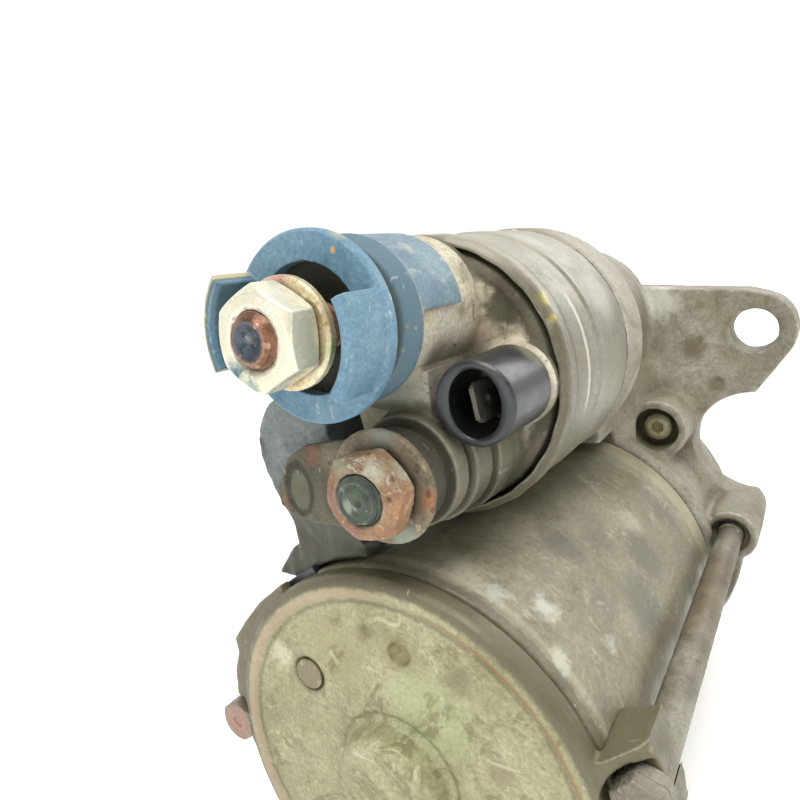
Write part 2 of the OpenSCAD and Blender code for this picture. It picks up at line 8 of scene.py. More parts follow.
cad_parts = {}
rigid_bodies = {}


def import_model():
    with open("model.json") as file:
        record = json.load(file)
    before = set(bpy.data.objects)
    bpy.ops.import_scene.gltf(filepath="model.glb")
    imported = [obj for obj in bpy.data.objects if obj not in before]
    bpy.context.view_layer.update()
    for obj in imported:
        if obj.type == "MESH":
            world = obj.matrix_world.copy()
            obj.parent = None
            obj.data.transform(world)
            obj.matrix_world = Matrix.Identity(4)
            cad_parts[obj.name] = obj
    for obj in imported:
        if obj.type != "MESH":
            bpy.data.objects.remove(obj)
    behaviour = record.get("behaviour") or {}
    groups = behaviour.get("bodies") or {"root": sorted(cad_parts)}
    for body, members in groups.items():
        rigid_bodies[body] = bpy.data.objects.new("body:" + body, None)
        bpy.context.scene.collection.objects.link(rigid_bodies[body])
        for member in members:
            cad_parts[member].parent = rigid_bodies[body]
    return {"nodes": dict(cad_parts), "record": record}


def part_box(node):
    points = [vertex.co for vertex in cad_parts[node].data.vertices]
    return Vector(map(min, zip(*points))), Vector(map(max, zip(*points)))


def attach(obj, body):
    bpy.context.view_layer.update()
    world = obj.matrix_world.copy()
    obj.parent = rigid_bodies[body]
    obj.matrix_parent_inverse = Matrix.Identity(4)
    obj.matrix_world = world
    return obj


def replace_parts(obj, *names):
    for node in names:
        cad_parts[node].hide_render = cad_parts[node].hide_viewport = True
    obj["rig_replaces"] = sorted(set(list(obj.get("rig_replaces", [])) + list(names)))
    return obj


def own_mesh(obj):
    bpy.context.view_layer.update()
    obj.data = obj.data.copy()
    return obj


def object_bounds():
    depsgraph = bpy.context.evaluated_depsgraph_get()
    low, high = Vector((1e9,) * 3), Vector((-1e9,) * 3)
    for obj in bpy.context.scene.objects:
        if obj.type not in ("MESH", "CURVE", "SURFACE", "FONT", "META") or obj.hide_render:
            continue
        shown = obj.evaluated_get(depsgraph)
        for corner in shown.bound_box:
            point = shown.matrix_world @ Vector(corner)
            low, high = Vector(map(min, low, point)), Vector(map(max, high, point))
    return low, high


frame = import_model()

MM = 0.001
NODES = frame["nodes"]
BODY = {n: b for b, ns in frame["record"]["behaviour"]["bodies"].items() for n in ns}
SLOT = {s["node"]: s["material_slot"] for s in frame["record"]["subparts"]}
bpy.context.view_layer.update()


# ------------------------------------------------------------------ helpers
def B(n):
    lo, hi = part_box(n)
    return np.array(lo) * 1000, np.array(hi) * 1000


def axis_of(n):
    lo, hi = B(n)
    return (lo[1] + hi[1]) / 2, (lo[2] + hi[2]) / 2


def _hash(i, seed):
    n = i[..., 0] * 374761393 + i[..., 1] * 668265263 + i[..., 2] * 1274126177 + seed * 974634777
    n = n & 0xFFFFFFFF
    n = ((n ^ (n >> 13)) * 1274126177) & 0xFFFFFFFF
    n = n ^ (n >> 16)
    return (n & 0xFFFF) / 32767.5 - 1


def vnoise(P, size, seed=0):
    """Smooth value noise in -1..1; P in mm, features of about size mm."""
    q = np.asarray(P, float) / size + 137.31
    i = np.floor(q).astype(np.int64)
    f = q - i
    f = f * f * (3 - 2 * f)
    out = 0
    for dx in (0, 1):
        for dy in (0, 1):
            for dz in (0, 1):
                w = (f[..., 0] if dx else 1 - f[..., 0]) * (f[..., 1] if dy else 1 - f[..., 1]) * (f[..., 2] if dz else 1 - f[..., 2])
                out = out + w * _hash(i + np.array([dx, dy, dz]), seed)
    return out


def fbm(P, size, seed=0, octaves=3):
    out, amp, tot = 0, 1, 0
    for k in range(octaves):
        out = out + amp * vnoise(P, size / 2 ** k, seed + 17 * k)
        tot += amp
        amp *= 0.5
    return out / tot


def fil(pts, r=0.3, k=4, closed=False):
    """Rounds the corners of a 2D line."""
    pts = [np.array(p, float) for p in pts]
    out, n = [], len(pts)
    for i in range(n):
        if not closed and (i == 0 or i == n - 1):
            out.append(pts[i])
            continue
        p0, p1, p2 = pts[i - 1], pts[i], pts[(i + 1) % n]
        a, b = p0 - p1, p2 - p1
        la, lb = np.linalg.norm(a), np.linalg.norm(b)
        if la < 1e-6 or lb < 1e-6:
            continue
        a, b = a / la, b / lb
        ang = math.acos(max(-1, min(1, float(a @ b))))
        if ang > math.radians(174):
            out.append(p1)
            continue
        rr = r[i] if isinstance(r, (list, tuple)) else r
        t = min(rr / math.tan(ang / 2), la * 0.45, lb * 0.45)
        s, e = p1 + a * t, p1 + b * t
        for j in range(k + 1):
            u = j / k
            out.append((1 - u) ** 2 * s + 2 * u * (1 - u) * p1 + u * u * e)
    return out


def dens(pts, step, closed=False):
    out = []
    n = len(pts)
    for i in range(n if closed else n - 1):
        p, q = np.array(pts[i]), np.array(pts[(i + 1) % n])
        m = max(1, int(math.ceil(np.linalg.norm(q - p) / step)))
        for j in range(m):
            out.append(p + (q - p) * j / m)
    if not closed:
        out.append(np.array(pts[-1]))
    return np.array(out)


def make(name, V, F, node=None, body=None, mat=None, sharp=40, stands=True, clamp=True):
    V = np.asarray(V, float)
    if node and clamp:
        lo, hi = B(node)
        V = np.clip(V, lo, hi)
    me = bpy.data.meshes.new(name)
    me.from_pydata((V * MM).tolist(), [], [list(map(int, f)) for f in F])
    bm = bmesh.new()
    bm.from_mesh(me)
    bmesh.ops.remove_doubles(bm, verts=bm.verts, dist=2e-6)
    bmesh.ops.dissolve_degenerate(bm, edges=bm.edges, dist=1e-6)
    bmesh.ops.recalc_face_normals(bm, faces=bm.faces)
    bm.to_mesh(me)
    bm.free()
    me.shade_smooth()
    me.set_sharp_from_angle(angle=math.radians(sharp))
    ob = bpy.data.objects.new(name, me)
    bpy.context.scene.collection.objects.link(ob)
    if mat:
        me.materials.append(mat)
    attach(ob, body or BODY[node])
    if node and stands:
        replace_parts(ob, node)
    return ob


def grid(P, wu=True, wv=False):
    nu, nv = P.shape[:2]
    idx = np.arange(nu * nv).reshape(nu, nv)
    iu, iv = (nu if wu else nu - 1), (nv if wv else nv - 1)
    a = idx[:iu, :iv]
    b = np.roll(idx, -1, 0)[:iu, :iv]
    c = np.roll(np.roll(idx, -1, 0), -1, 1)[:iu, :iv]
    d = np.roll(idx, -1, 1)[:iu, :iv]
    return P.reshape(-1, 3), np.stack([a, b, c, d], -1).reshape(-1, 4)


def lathe(prof, cy, cz, n=192, step=1.2, closed=False, rfn=None, rnd=0.3):
    p = dens(fil(prof, rnd, 4, closed) if rnd else [np.array(q, float) for q in prof], step, closed)
    th = np.linspace(0, 2 * math.pi, n, endpoint=False)
    X = np.repeat(p[None, :, 0], n, 0)
    Rr = np.repeat(p[None, :, 1], n, 0)
    T = np.repeat(th[:, None], len(p), 1)
    if rfn:
        X, Rr = rfn(X, Rr, T)
    P = np.stack([X, cy + Rr * np.cos(T), cz + Rr * np.sin(T)], -1)
    return grid(P, True, closed)


def join(parts):
    V, F, o = [], [], 0
    for v, f in parts:
        V.append(np.asarray(v, float))
        F += [[int(i) + o for i in q] for q in f]
        o += len(v)
    return np.concatenate(V), F


def push(V, F, fn):
    """Moves each vertex of a grid along its own normal by fn(V) mm."""
    V = np.asarray(V, float)
    N = np.zeros_like(V)
    Q = np.array([list(q) if len(q) == 4 else list(q) + [q[-1]] for q in F])
    e1, e2 = V[Q[:, 2]] - V[Q[:, 0]], V[Q[:, 3]] - V[Q[:, 1]]
    fn_ = np.cross(e1, e2)
    for k in range(4):
        np.add.at(N, Q[:, k], fn_)
    N /= np.maximum(np.linalg.norm(N, axis=1, keepdims=True), 1e-9)
    return V + N * fn(V)[:, None]


def hexnut(x0, x1, af, cy, cz, hole, rot=0.0, cham=1.0, rnd=0.35, thread=1.25, n=240, rough=0.0, seed=1, face=0.955, slope=1.9):
    """A hexagon nut with rounded chamfers on both faces and a threaded hole."""
    th = np.linspace(0, 2 * math.pi, n, endpoint=False)
    ap = af / 2
    a = (th - rot + math.pi / 6) % (math.pi / 3) - math.pi / 6
    hexr = ap / np.cos(a)
    hexr = hexr - rnd * 0.35 * np.clip((hexr / ap - 1.06) / 0.095, 0, 1) ** 2
    rows = []
    xs = np.concatenate([np.linspace(0, 1, 13) ** 1.4 * 2.2, np.linspace(2.6, x1 - x0 - 2.6, 8), (x1 - x0) - (np.linspace(0, 1, 13) ** 1.4 * 2.2)[::-1]])

    def cone(x):
        d = np.minimum(x, (x1 - x0) - x)
        return ap * face + np.minimum(d * slope, 50)
    for x in xs:
        c = cone(x)
        k = 0.55
        h = np.clip(0.5 + 0.5 * (c - hexr) / k, 0, 1)
        r = c + (hexr - c) * h - k * h * (1 - h) * 0.5
        rows.append(np.stack([np.full(n, x0 + x), cy + r * np.cos(th), cz + r * np.sin(th)], -1))
    outer = rows

    def ring(x, r, tilt=0.0):
        return np.stack([np.full(n, x), cy + r * np.cos(th), cz + r * np.sin(th)], -1)
    r_face = ap * face - 0.14
    back = [ring(x0 - 0.0 + 0.0, r) for r in np.linspace(hole + 0.55, r_face, 7)]
    front = [ring(x1, r) for r in np.linspace(r_face, hole + 0.2, 5)]
    inner = []
    L = x1 - x0
    m = int(L / thread * 8)
    inner.append(ring(x1 - 0.15, hole + 0.05))
    for j in range(m, -1, -1):
        x = L * 0.98 * j / m
        r = hole + 0.06 * np.cos((x / thread * 2 * math.pi) - th)
        inner.append(np.stack([np.full(n, x0 + 0.35 + x * 0.92), cy + r * np.cos(th), cz + r * np.sin(th)], -1))
    P = np.stack(back + outer + front + inner, 1)
    V, F = grid(P, True, True)
    if rough:
        V = push(V, F, lambda q: rough * (fbm(q, 1.6, seed) * 0.5 - 0.5 + 0.35 * vnoise(q, 0.5, seed + 5)))
    return V, F


def threaded(x_tip, x_end, r, cy, cz, pitch=1.25, depth=0.55, chamfer=1.0, n=96, tip=None, runout=1.5, seed=0):
    """A stud with a rolled thread from its tip to x_end, as one open surface closed at both ends."""
    step = pitch / 9
    L = x_end - x_tip
    m = int(L / step)
    th = np.linspace(0, 2 * math.pi, n, endpoint=False)
    rows = []
    for xr, rr in (tip or [(0.0, 0.02), (0.0, r - chamfer - 0.2)]):
        rows.append(np.stack([np.full(n, x_tip + xr), cy + rr * np.cos(th), cz + rr * np.sin(th)], -1))
    for j in range(m + 1):
        x = L * j / m
        ph = (x / pitch - th / (2 * math.pi)) % 1.0
        tri = np.abs(ph * 2 - 1)
        prof = np.clip((tri - 0.12) / 0.76, 0, 1)
        prof = prof * prof * (3 - 2 * prof)
        rad = r - depth * prof
        rad = np.minimum(rad, r - chamfer + x * 0.85)
        fade = np.clip((L - x) / runout, 0, 1)
        rad = rad * fade + (r - 0.02) * (1 - fade) if L - x < runout else rad
        rows.append(np.stack([np.full(n, x_tip + x), cy + rad * np.cos(th), cz + rad * np.sin(th)], -1))
    rows.append(np.stack([np.full(n, x_end), cy + 0.02 * np.cos(th), cz + 0.02 * np.sin(th)], -1))
    return grid(np.stack(rows, 1), True, False)


def coil(x0, x1, r, wire, turns, cy, cz, along="x", n=14, dead=0.9):
    """A coil spring with closed ends, its axis along x."""
    m = int(turns * 28)
    t = np.linspace(0, 1, m + 1)
    a = t * turns * 2 * math.pi
    e = dead / turns
    w = np.clip((t - e) / (1 - 2 * e), 0, 1)
    ends = np.minimum(t / e, 1) * wire + np.clip((t - 1 + e) / e, 0, 1) * wire
    x = x0 + wire / 2 + ends + w * (x1 - x0 - 3 * wire)
    C = np.stack([x, r * np.cos(a), r * np.sin(a)], -1)
    T = np.gradient(C, axis=0)
    T /= np.linalg.norm(T, axis=1, keepdims=True)
    Nn = np.stack([0 * a, np.cos(a), np.sin(a)], -1)
    Bn = np.cross(T, Nn)
    ph = np.linspace(0, 2 * math.pi, n, endpoint=False)
    P = C[None] + wire / 2 * (np.cos(ph)[:, None, None] * Nn[None] + np.sin(ph)[:, None, None] * Bn[None])
    caps = np.repeat(C[None, :1], n, 0), np.repeat(C[None, -1:], n, 0)
    P = np.concatenate([caps[0], P, caps[1]], 1)
    V, F = grid(P, True, False)
    V = np.array(V)
    V[:, 1] += cy
    V[:, 2] += cz
    return V, F


def remesh(node, name, voxel, mat, smooth=5, disp=None, sharp=75, extra=()):
    """A copy of a CAD node as one fine, softly rounded skin, like a casting or a moulding."""
    me = NODES[node].data.copy()
    me.materials.clear()
    bm = bmesh.new()
    bm.from_mesh(me)
    bmesh.ops.remove_doubles(bm, verts=bm.verts, dist=1e-6)
    for (x0, x1, poly) in extra:
        a = [bm.verts.new((x0 * MM, y * MM, z * MM)) for y, z in poly]
        b = [bm.verts.new((x1 * MM, y * MM, z * MM)) for y, z in poly]
        fs = [bm.faces.new(a[::-1]), bm.faces.new(b)]
        fs += [bm.faces.new((a[i], a[(i + 1) % len(a)], b[(i + 1) % len(a)], b[i])) for i in range(len(a))]
        bmesh.ops.recalc_face_normals(bm, faces=fs)
    bm.to_mesh(me)
    bm.free()
    ob = bpy.data.objects.new(name + "_tmp", me)
    bpy.context.scene.collection.objects.link(ob)
    md = ob.modifiers.new("skin", "REMESH")
    md.mode = "VOXEL"
    md.voxel_size = voxel * MM
    md.adaptivity = 0
    dg = bpy.context.evaluated_depsgraph_get()
    m2 = bpy.data.meshes.new_from_object(ob.evaluated_get(dg))
    bpy.data.objects.remove(ob)
    m2.name = name
    n = len(m2.vertices)
    co = np.zeros(n * 3, np.float64)
    m2.vertices.foreach_get("co", co)
    co = co.reshape(-1, 3) * 1000
    E = np.zeros(len(m2.edges) * 2, np.int64)
    m2.edges.foreach_get("vertices", E)
    E = E.reshape(-1, 2)
    deg = np.bincount(E.ravel(), minlength=n).astype(float)
    for k in range(smooth):
        for lam in (0.5, -0.3):
            s = np.zeros_like(co)
            for c in range(3):
                s[:, c] = np.bincount(E[:, 0], co[E[:, 1], c], n) + np.bincount(E[:, 1], co[E[:, 0], c], n)
            co = co + lam * (s / np.maximum(deg, 1)[:, None] - co)
    lo, hi = B(node)
    if disp is not None:
        m2.vertices.foreach_set("co", (co * MM).astype(np.float32).ravel())
        m2.update()
        N = np.zeros(n * 3, np.float32)
        m2.vertices.foreach_get("normal", N)
        co = co + N.reshape(-1, 3).astype(float) * disp(co, N.reshape(-1, 3))[:, None]
    co = np.clip(co, lo, hi)
    m2.vertices.foreach_set("co", (co * MM).astype(np.float32).ravel())
    m2.update()
    m2.shade_smooth()
    m2.set_sharp_from_angle(angle=math.radians(sharp))
    m2.materials.clear()
    m2.materials.append(mat)
    ob = bpy.data.objects.new(name, m2)
    bpy.context.scene.collection.objects.link(ob)
    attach(ob, BODY[node])
    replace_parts(ob, node)
    return ob


# ------------------------------------------------------------------ materials
def lin(h):
    h = h.lstrip("#")
    c = [int(h[i:i + 2], 16) / 255 for i in (0, 2, 4)]
    return tuple(v / 12.92 if v <= 0.04045 else ((v + 0.055) / 1.055) ** 2.4 for v in c) + (1.0,)


class G:
    def __init__(self, name):
        self.m = bpy.data.materials.new(name)
        self.m.use_nodes = True
        self.t = self.m.node_tree
        self.t.nodes.clear()
        self.out = self.n("ShaderNodeOutputMaterial")
        self.b = self.n("ShaderNodeBsdfPrincipled")
        self.t.links.new(self.b.outputs[0], self.out.inputs[0])
        self.co = self.n("ShaderNodeTexCoord").outputs["Object"]

    def n(self, kind, **kw):
        x = self.t.nodes.new(kind)
        for k, v in kw.items():
            setattr(x, k, v)
        return x

    def put(self, sock, v):
        if isinstance(v, bpy.types.NodeSocket):
            self.t.links.new(v, sock)
        else:
            if isinstance(v, str):
                v = lin(v)
            sock.default_value = v

    def mapped(self, scale=(1, 1, 1), loc=(0, 0, 0), rot=(0, 0, 0)):
        m = self.n("ShaderNodeMapping")
        m.inputs["Scale"].default_value = scale
        m.inputs["Location"].default_value = loc
        m.inputs["Rotation"].default_value = rot
        self.t.links.new(self.co, m.inputs["Vector"])
        return m.outputs[0]

    def noise(self, scale, detail=5, rough=0.6, dist=0.0, vec=None, off=0.0):
        x = self.n("ShaderNodeTexNoise")
        x.inputs["Scale"].default_value = scale
        x.inputs["Detail"].default_value = detail
        x.inputs["Roughness"].default_value = rough
        x.inputs["Distortion"].default_value = dist
        v = vec if vec is not None else (self.mapped(loc=(off, off * 0.7, -off)) if off else self.co)
        self.t.links.new(v, x.inputs["Vector"])
        return x.outputs["Fac"]

    def voro(self, scale, off=0.0, rand=1.0, feature="F1"):
        x = self.n("ShaderNodeTexVoronoi", feature=feature)
        x.inputs["Scale"].default_value = scale
        x.inputs["Randomness"].default_value = rand
        self.t.links.new(self.mapped(loc=(off, off, off)) if off else self.co, x.inputs["Vector"])
        return x.outputs["Distance"]

    def m_(self, op, a, b=0.0, c=0.0, clamp=False):
        x = self.n("ShaderNodeMath", operation=op, use_clamp=clamp)
        self.put(x.inputs[0], a)
        self.put(x.inputs[1], b)
        if op in ("MULTIPLY_ADD", "SMOOTH_MIN"):
            self.put(x.inputs[2], c)
        return x.outputs[0]

    def mr(self, v, a, b, c=0.0, d=1.0, smooth=True):
        x = self.n("ShaderNodeMapRange")
        x.interpolation_type = "SMOOTHSTEP" if smooth else "LINEAR"
        x.clamp = True
        self.put(x.inputs["Value"], v)
        x.inputs["From Min"].default_value = a
        x.inputs["From Max"].default_value = b
        x.inputs["To Min"].default_value = c
        x.inputs["To Max"].default_value = d
        return x.outputs["Result"]

    def ramp(self, fac, stops):
        x = self.n("ShaderNodeValToRGB")
        e = x.color_ramp.elements
        while len(e) > 1:
            e.remove(e[-1])
        e[0].position, e[0].color = stops[0][0], lin(stops[0][1])
        for p, c in stops[1:]:
            el = e.new(p)
            el.color = lin(c)
        self.t.links.new(fac, x.inputs["Fac"])
        return x.outputs["Color"]

    def mix(self, fac, a, b, mode="MIX"):
        x = self.n("ShaderNodeMix", data_type="RGBA", blend_type=mode)
        x.clamp_factor = True
        self.put(x.inputs["Factor"], fac)
        self.put(x.inputs["A"] if False else x.inputs[6], a)
        self.put(x.inputs[7], b)
        return x.outputs[2]

    def edge(self, a=0.515, b=0.56):
        p = self.n("ShaderNodeNewGeometry").outputs["Pointiness"]
        return self.mr(p, a, b)

    def cavity(self, a=0.485, b=0.44):
        p = self.n("ShaderNodeNewGeometry").outputs["Pointiness"]
        return self.mr(p, b, a, 1.0, 0.0)

    def ao(self, dist=0.004, a=0.25, b=0.85):
        x = self.n("ShaderNodeAmbientOcclusion", samples=5)
        x.inputs["Distance"].default_value = dist
        return self.mr(x.outputs["AO"], a, b, 1.0, 0.0)

    def near(self, p, r0, r1, wob=0.0, wscale=600, stretch=(1, 1, 1)):
        """1 within r0 mm of point p (mm), 0 beyond r1 mm, with a ragged rim."""
        d = self.n("ShaderNodeVectorMath", operation="SUBTRACT")
        self.t.links.new(self.co, d.inputs[0])
        d.inputs[1].default_value = [v * MM for v in p]
        s = self.n("ShaderNodeVectorMath", operation="MULTIPLY")
        self.t.links.new(d.outputs[0], s.inputs[0])
        s.inputs[1].default_value = stretch
        l = self.n("ShaderNodeVectorMath", operation="LENGTH")
        self.t.links.new(s.outputs[0], l.inputs[0])
        v = l.outputs["Value"]
        if wob:
            v = self.m_("ADD", v, self.m_("MULTIPLY", self.m_("SUBTRACT", self.noise(wscale, 4, 0.7), 0.5), wob * MM * 2))
        return self.mr(v, r0 * MM, r1 * MM, 1.0, 0.0)

    def radial(self, cy, cz):
        """Distance in metres from the line along X through (cy, cz) mm."""
        s = self.n("ShaderNodeSeparateXYZ")
        self.t.links.new(self.co, s.inputs[0])
        y = self.m_("SUBTRACT", s.outputs[1], cy * MM)
        z = self.m_("SUBTRACT", s.outputs[2], cz * MM)
        return self.m_("SQRT", self.m_("ADD", self.m_("MULTIPLY", y, y), self.m_("MULTIPLY", z, z)))

    def radial2(self):
        """Distance in metres from the object's vertical axis."""
        s = self.n("ShaderNodeSeparateXYZ")
        self.t.links.new(self.co, s.inputs[0])
        x, y = s.outputs[0], s.outputs[1]
        return self.m_("SQRT", self.m_("ADD", self.m_("MULTIPLY", x, x), self.m_("MULTIPLY", y, y)))

    def axis(self, k):
        s = self.n("ShaderNodeSeparateXYZ")
        self.t.links.new(self.co, s.inputs[0])
        return s.outputs[k]

    def window(self, v, a, b, soft=0.3, wob=0.0, wscale=500):
        """1 where the length v (metres) lies between a and b mm, with soft and ragged limits."""
        if wob:
            v = self.m_("ADD", v, self.m_("MULTIPLY", self.m_("SUBTRACT", self.noise(wscale, 4, 0.7), 0.5), wob * MM * 2))
        return self.m_("MULTIPLY", self.mr(v, (a - soft) * MM, (a + soft) * MM), self.mr(v, (b - soft) * MM, (b + soft) * MM, 1.0, 0.0))

    def ring(self, cy, cz, r0, r1, soft=0.3, wob=0.0):
        return self.window(self.radial(cy, cz), r0, r1, soft, wob)

    def slab(self, k, a, b, soft=0.3, wob=0.0):
        return self.window(self.axis(k), a, b, soft, wob)

    def both(self, *ms):
        v = ms[0]
        for m in ms[1:]:
            v = self.m_("MULTIPLY", v, m)
        return v

    def bump(self, h, dist=0.0002, strength=0.6, nrm=None):
        x = self.n("ShaderNodeBump")
        x.inputs["Distance"].default_value = dist
        x.inputs["Strength"].default_value = strength
        self.t.links.new(h, x.inputs["Height"])
        if nrm is not None:
            self.t.links.new(nrm, x.inputs["Normal"])
        return x.outputs[0]

    def done(self, col, rough, nrm=None, metal=0.0, spec=0.5, coat=0.0, coat_r=0.2, sheen=0.0):
        self.put(self.b.inputs["Base Color"], col)
        self.put(self.b.inputs["Roughness"], rough)
        self.put(self.b.inputs["Metallic"], metal)
        self.b.inputs["Specular IOR Level"].default_value = spec
        self.b.inputs["Coat Weight"].default_value = coat
        self.b.inputs["Coat Roughness"].default_value = coat_r
        self.b.inputs["Sheen Weight"].default_value = sheen
        if nrm is not None:
            self.t.links.new(nrm, self.b.inputs["Normal"])
        return self.m


def worn(name, dark, mid, light, grime_and_shade="#3a372c", edge="#c9c4b2", metal=0.0, rough=(0.45, 0.75), big=45, med=260, fine=1700,
         bump=0.5, edge_amt=0.6, grime_and_shade_amt=0.7, ao=0.005, scratch=0.25, sc_col="#d8d3c2", spots=(), pits=0.0, off=0.0, spec=0.5,
         pe=(0.515, 0.57), stripes=None, ao_rng=(0.25, 0.85), zones=(), over=(), coat=0.0, tone=0.55):
    """Dirty, handled metal or moulding: tone patches, grime and painted shade in hollows, rubbed edges, scratches and
    pits.
    """
    g = G(name)
    a = g.noise(big, 4, 0.55, 0.3, off=off)
    b = g.noise(med, 6, 0.65, 0.4, off=off + 0.3)
    c = g.noise(fine, 4, 0.6)
    ab = g.m_("ADD", g.m_("MULTIPLY", a, 0.6), g.m_("MULTIPLY", b, 0.4))
    col = g.ramp(ab, [(0.36, dark), (0.5, mid), (0.64, light)])
    col = g.mix(tone, col, g.ramp(c, [(0.3, "#9c9c9c"), (0.5, "#cfcfcf"), (0.7, "#ffffff")]), "MULTIPLY")
    col = g.mix(g.m_("MULTIPLY", g.mr(b, 0.56, 0.72), 0.35), col, grime_and_shade)
    if stripes:
        sx, amt, scol = stripes
        st = g.noise(sx, 3, 0.6, vec=g.mapped(scale=(1, 0.03, 0.03)))
        col = g.mix(g.m_("MULTIPLY", g.mr(st, 0.52, 0.66), amt), col, scol)
    for (p, r0, r1, scol, amt, wob) in spots:
        col = g.mix(g.m_("MULTIPLY", g.near(p, r0, r1, wob), amt), col, scol)
    for (fn, zcol, amt) in zones:
        col = g.mix(g.m_("MULTIPLY", fn(g), amt), col, zcol)
    # Hollows are darkened in the colour by ambient occlusion, varied by noise: part grime, part painted shade.
    aom = g.ao(ao, *ao_rng)
    hollow_grime_and_shade = g.m_("MULTIPLY", aom, g.mr(b, 0.30, 0.62, 0.55, 1.0))
    col = g.mix(g.m_("MULTIPLY", hollow_grime_and_shade, grime_and_shade_amt), col, grime_and_shade)
    ed = g.m_("MULTIPLY", g.edge(*pe), g.mr(b, 0.35, 0.6, 0.35, 1.0))
    col = g.mix(g.m_("MULTIPLY", ed, edge_amt), col, edge)
    sc1 = g.noise(900, 2, 0.5, 0.0, vec=g.mapped(scale=(0.05, 1.0, 0.4), rot=(0.3, 0.2, 0.5)))
    sc2 = g.noise(700, 2, 0.5, 0.0, vec=g.mapped(scale=(1.0, 0.06, 0.5), rot=(0.1, -0.5, 0.2), loc=(3, 1, 2)))
    sc = g.m_("MULTIPLY", g.m_("MAXIMUM", g.mr(sc1, 0.69, 0.74), g.mr(sc2, 0.69, 0.74)), g.mr(a, 0.45, 0.6))
    col = g.mix(g.m_("MULTIPLY", sc, scratch), col, sc_col)
    for (fn, zcol, amt) in over:
        col = g.mix(g.m_("MULTIPLY", fn(g), amt), col, zcol)
    h = g.m_("ADD", g.m_("MULTIPLY", b, 0.9), g.m_("MULTIPLY", c, 0.35))
    if pits:
        v = g.voro(420, off)
        pm = g.m_("MULTIPLY", g.mr(v, 0.12, 0.3, 1.0, 0.0), g.mr(g.noise(170, 3, 0.6, off=2.2), 0.52, 0.62))
        h = g.m_("SUBTRACT", h, g.m_("MULTIPLY", pm, 1.4 * pits))
        col = g.mix(g.m_("MULTIPLY", pm, 0.7 * pits), col, grime_and_shade)
    h = g.m_("SUBTRACT", h, g.m_("MULTIPLY", sc, 0.15))
    r = g.mr(b, 0.35, 0.65, rough[0], rough[1])
    r = g.m_("SUBTRACT", r, g.m_("MULTIPLY", ed, 0.12))
    nrm = g.bump(h, 0.00022, bump)
    return g.done(col, r, nrm, metal, spec, coat, 0.18)


# ---- finishes
M = {}
BY, BZ = 0.0, 78.8      # battery terminal axis (y, z)
MY, MZ = -4.8, 53.4     # motor terminal axis
SZ = 64.8               # solenoid axis
M["cast"] = worn("cast_alloy", "#79735f", "#9c9683", "#b7b2a2", grime_and_shade="#4b4534", edge="#dcd8cb", metal=0.0, rough=(0.5, 0.72), big=38, med=230,
                 fine=1500, bump=0.7, edge_amt=0.5, grime_and_shade_amt=0.7, ao=0.006, scratch=0.2, pits=0.5, spec=0.5,
                 spots=(((-10.4, -31, 55.5), 1.2, 5.0, "#5d5238", 0.75, 1.6), ((-10.4, -36.5, 45.5), 1.0, 3.4, "#5a5138", 0.6, 1.2),
                        ((-10.5, -40, 62), 0.5, 2.2, "#6b5f42", 0.6, 1.0), ((-10.5, -33, 67), 0.4, 1.8, "#6b5f42", 0.55, 0.8),
                        ((-10.4, -23, 69), 1.0, 8.0, "#dedcd0", 0.7, 3.0), ((-10.4, -32.9, 57.9), 0.3, 1.5, "#57503a", 0.7, 0.8), ((-10.4, -37.3, 46.7), 0.3, 1.5, "#57503a", 0.7, 0.8),
                        ((-16, -22.6, 35.4), 4.5, 9.0, "#6f673c", 0.6, 1.5), ((-10.4, -20.5, 41), 2.0, 7.0, "#68624b", 0.6, 3.0)),
                 zones=((lambda g: g.both(g.slab(0, -47, -14, 2.0, 1.5), g.slab(2, 44, 95, 2.0, 2.0)), "#6b654f", 0.65),
                        (lambda g: g.both(g.mr(g.noise(70, 5, 0.7, 1.2, off=6.0), 0.52, 0.62), g.slab(0, -60, 60, 1.0)), "#716a53", 0.45)))
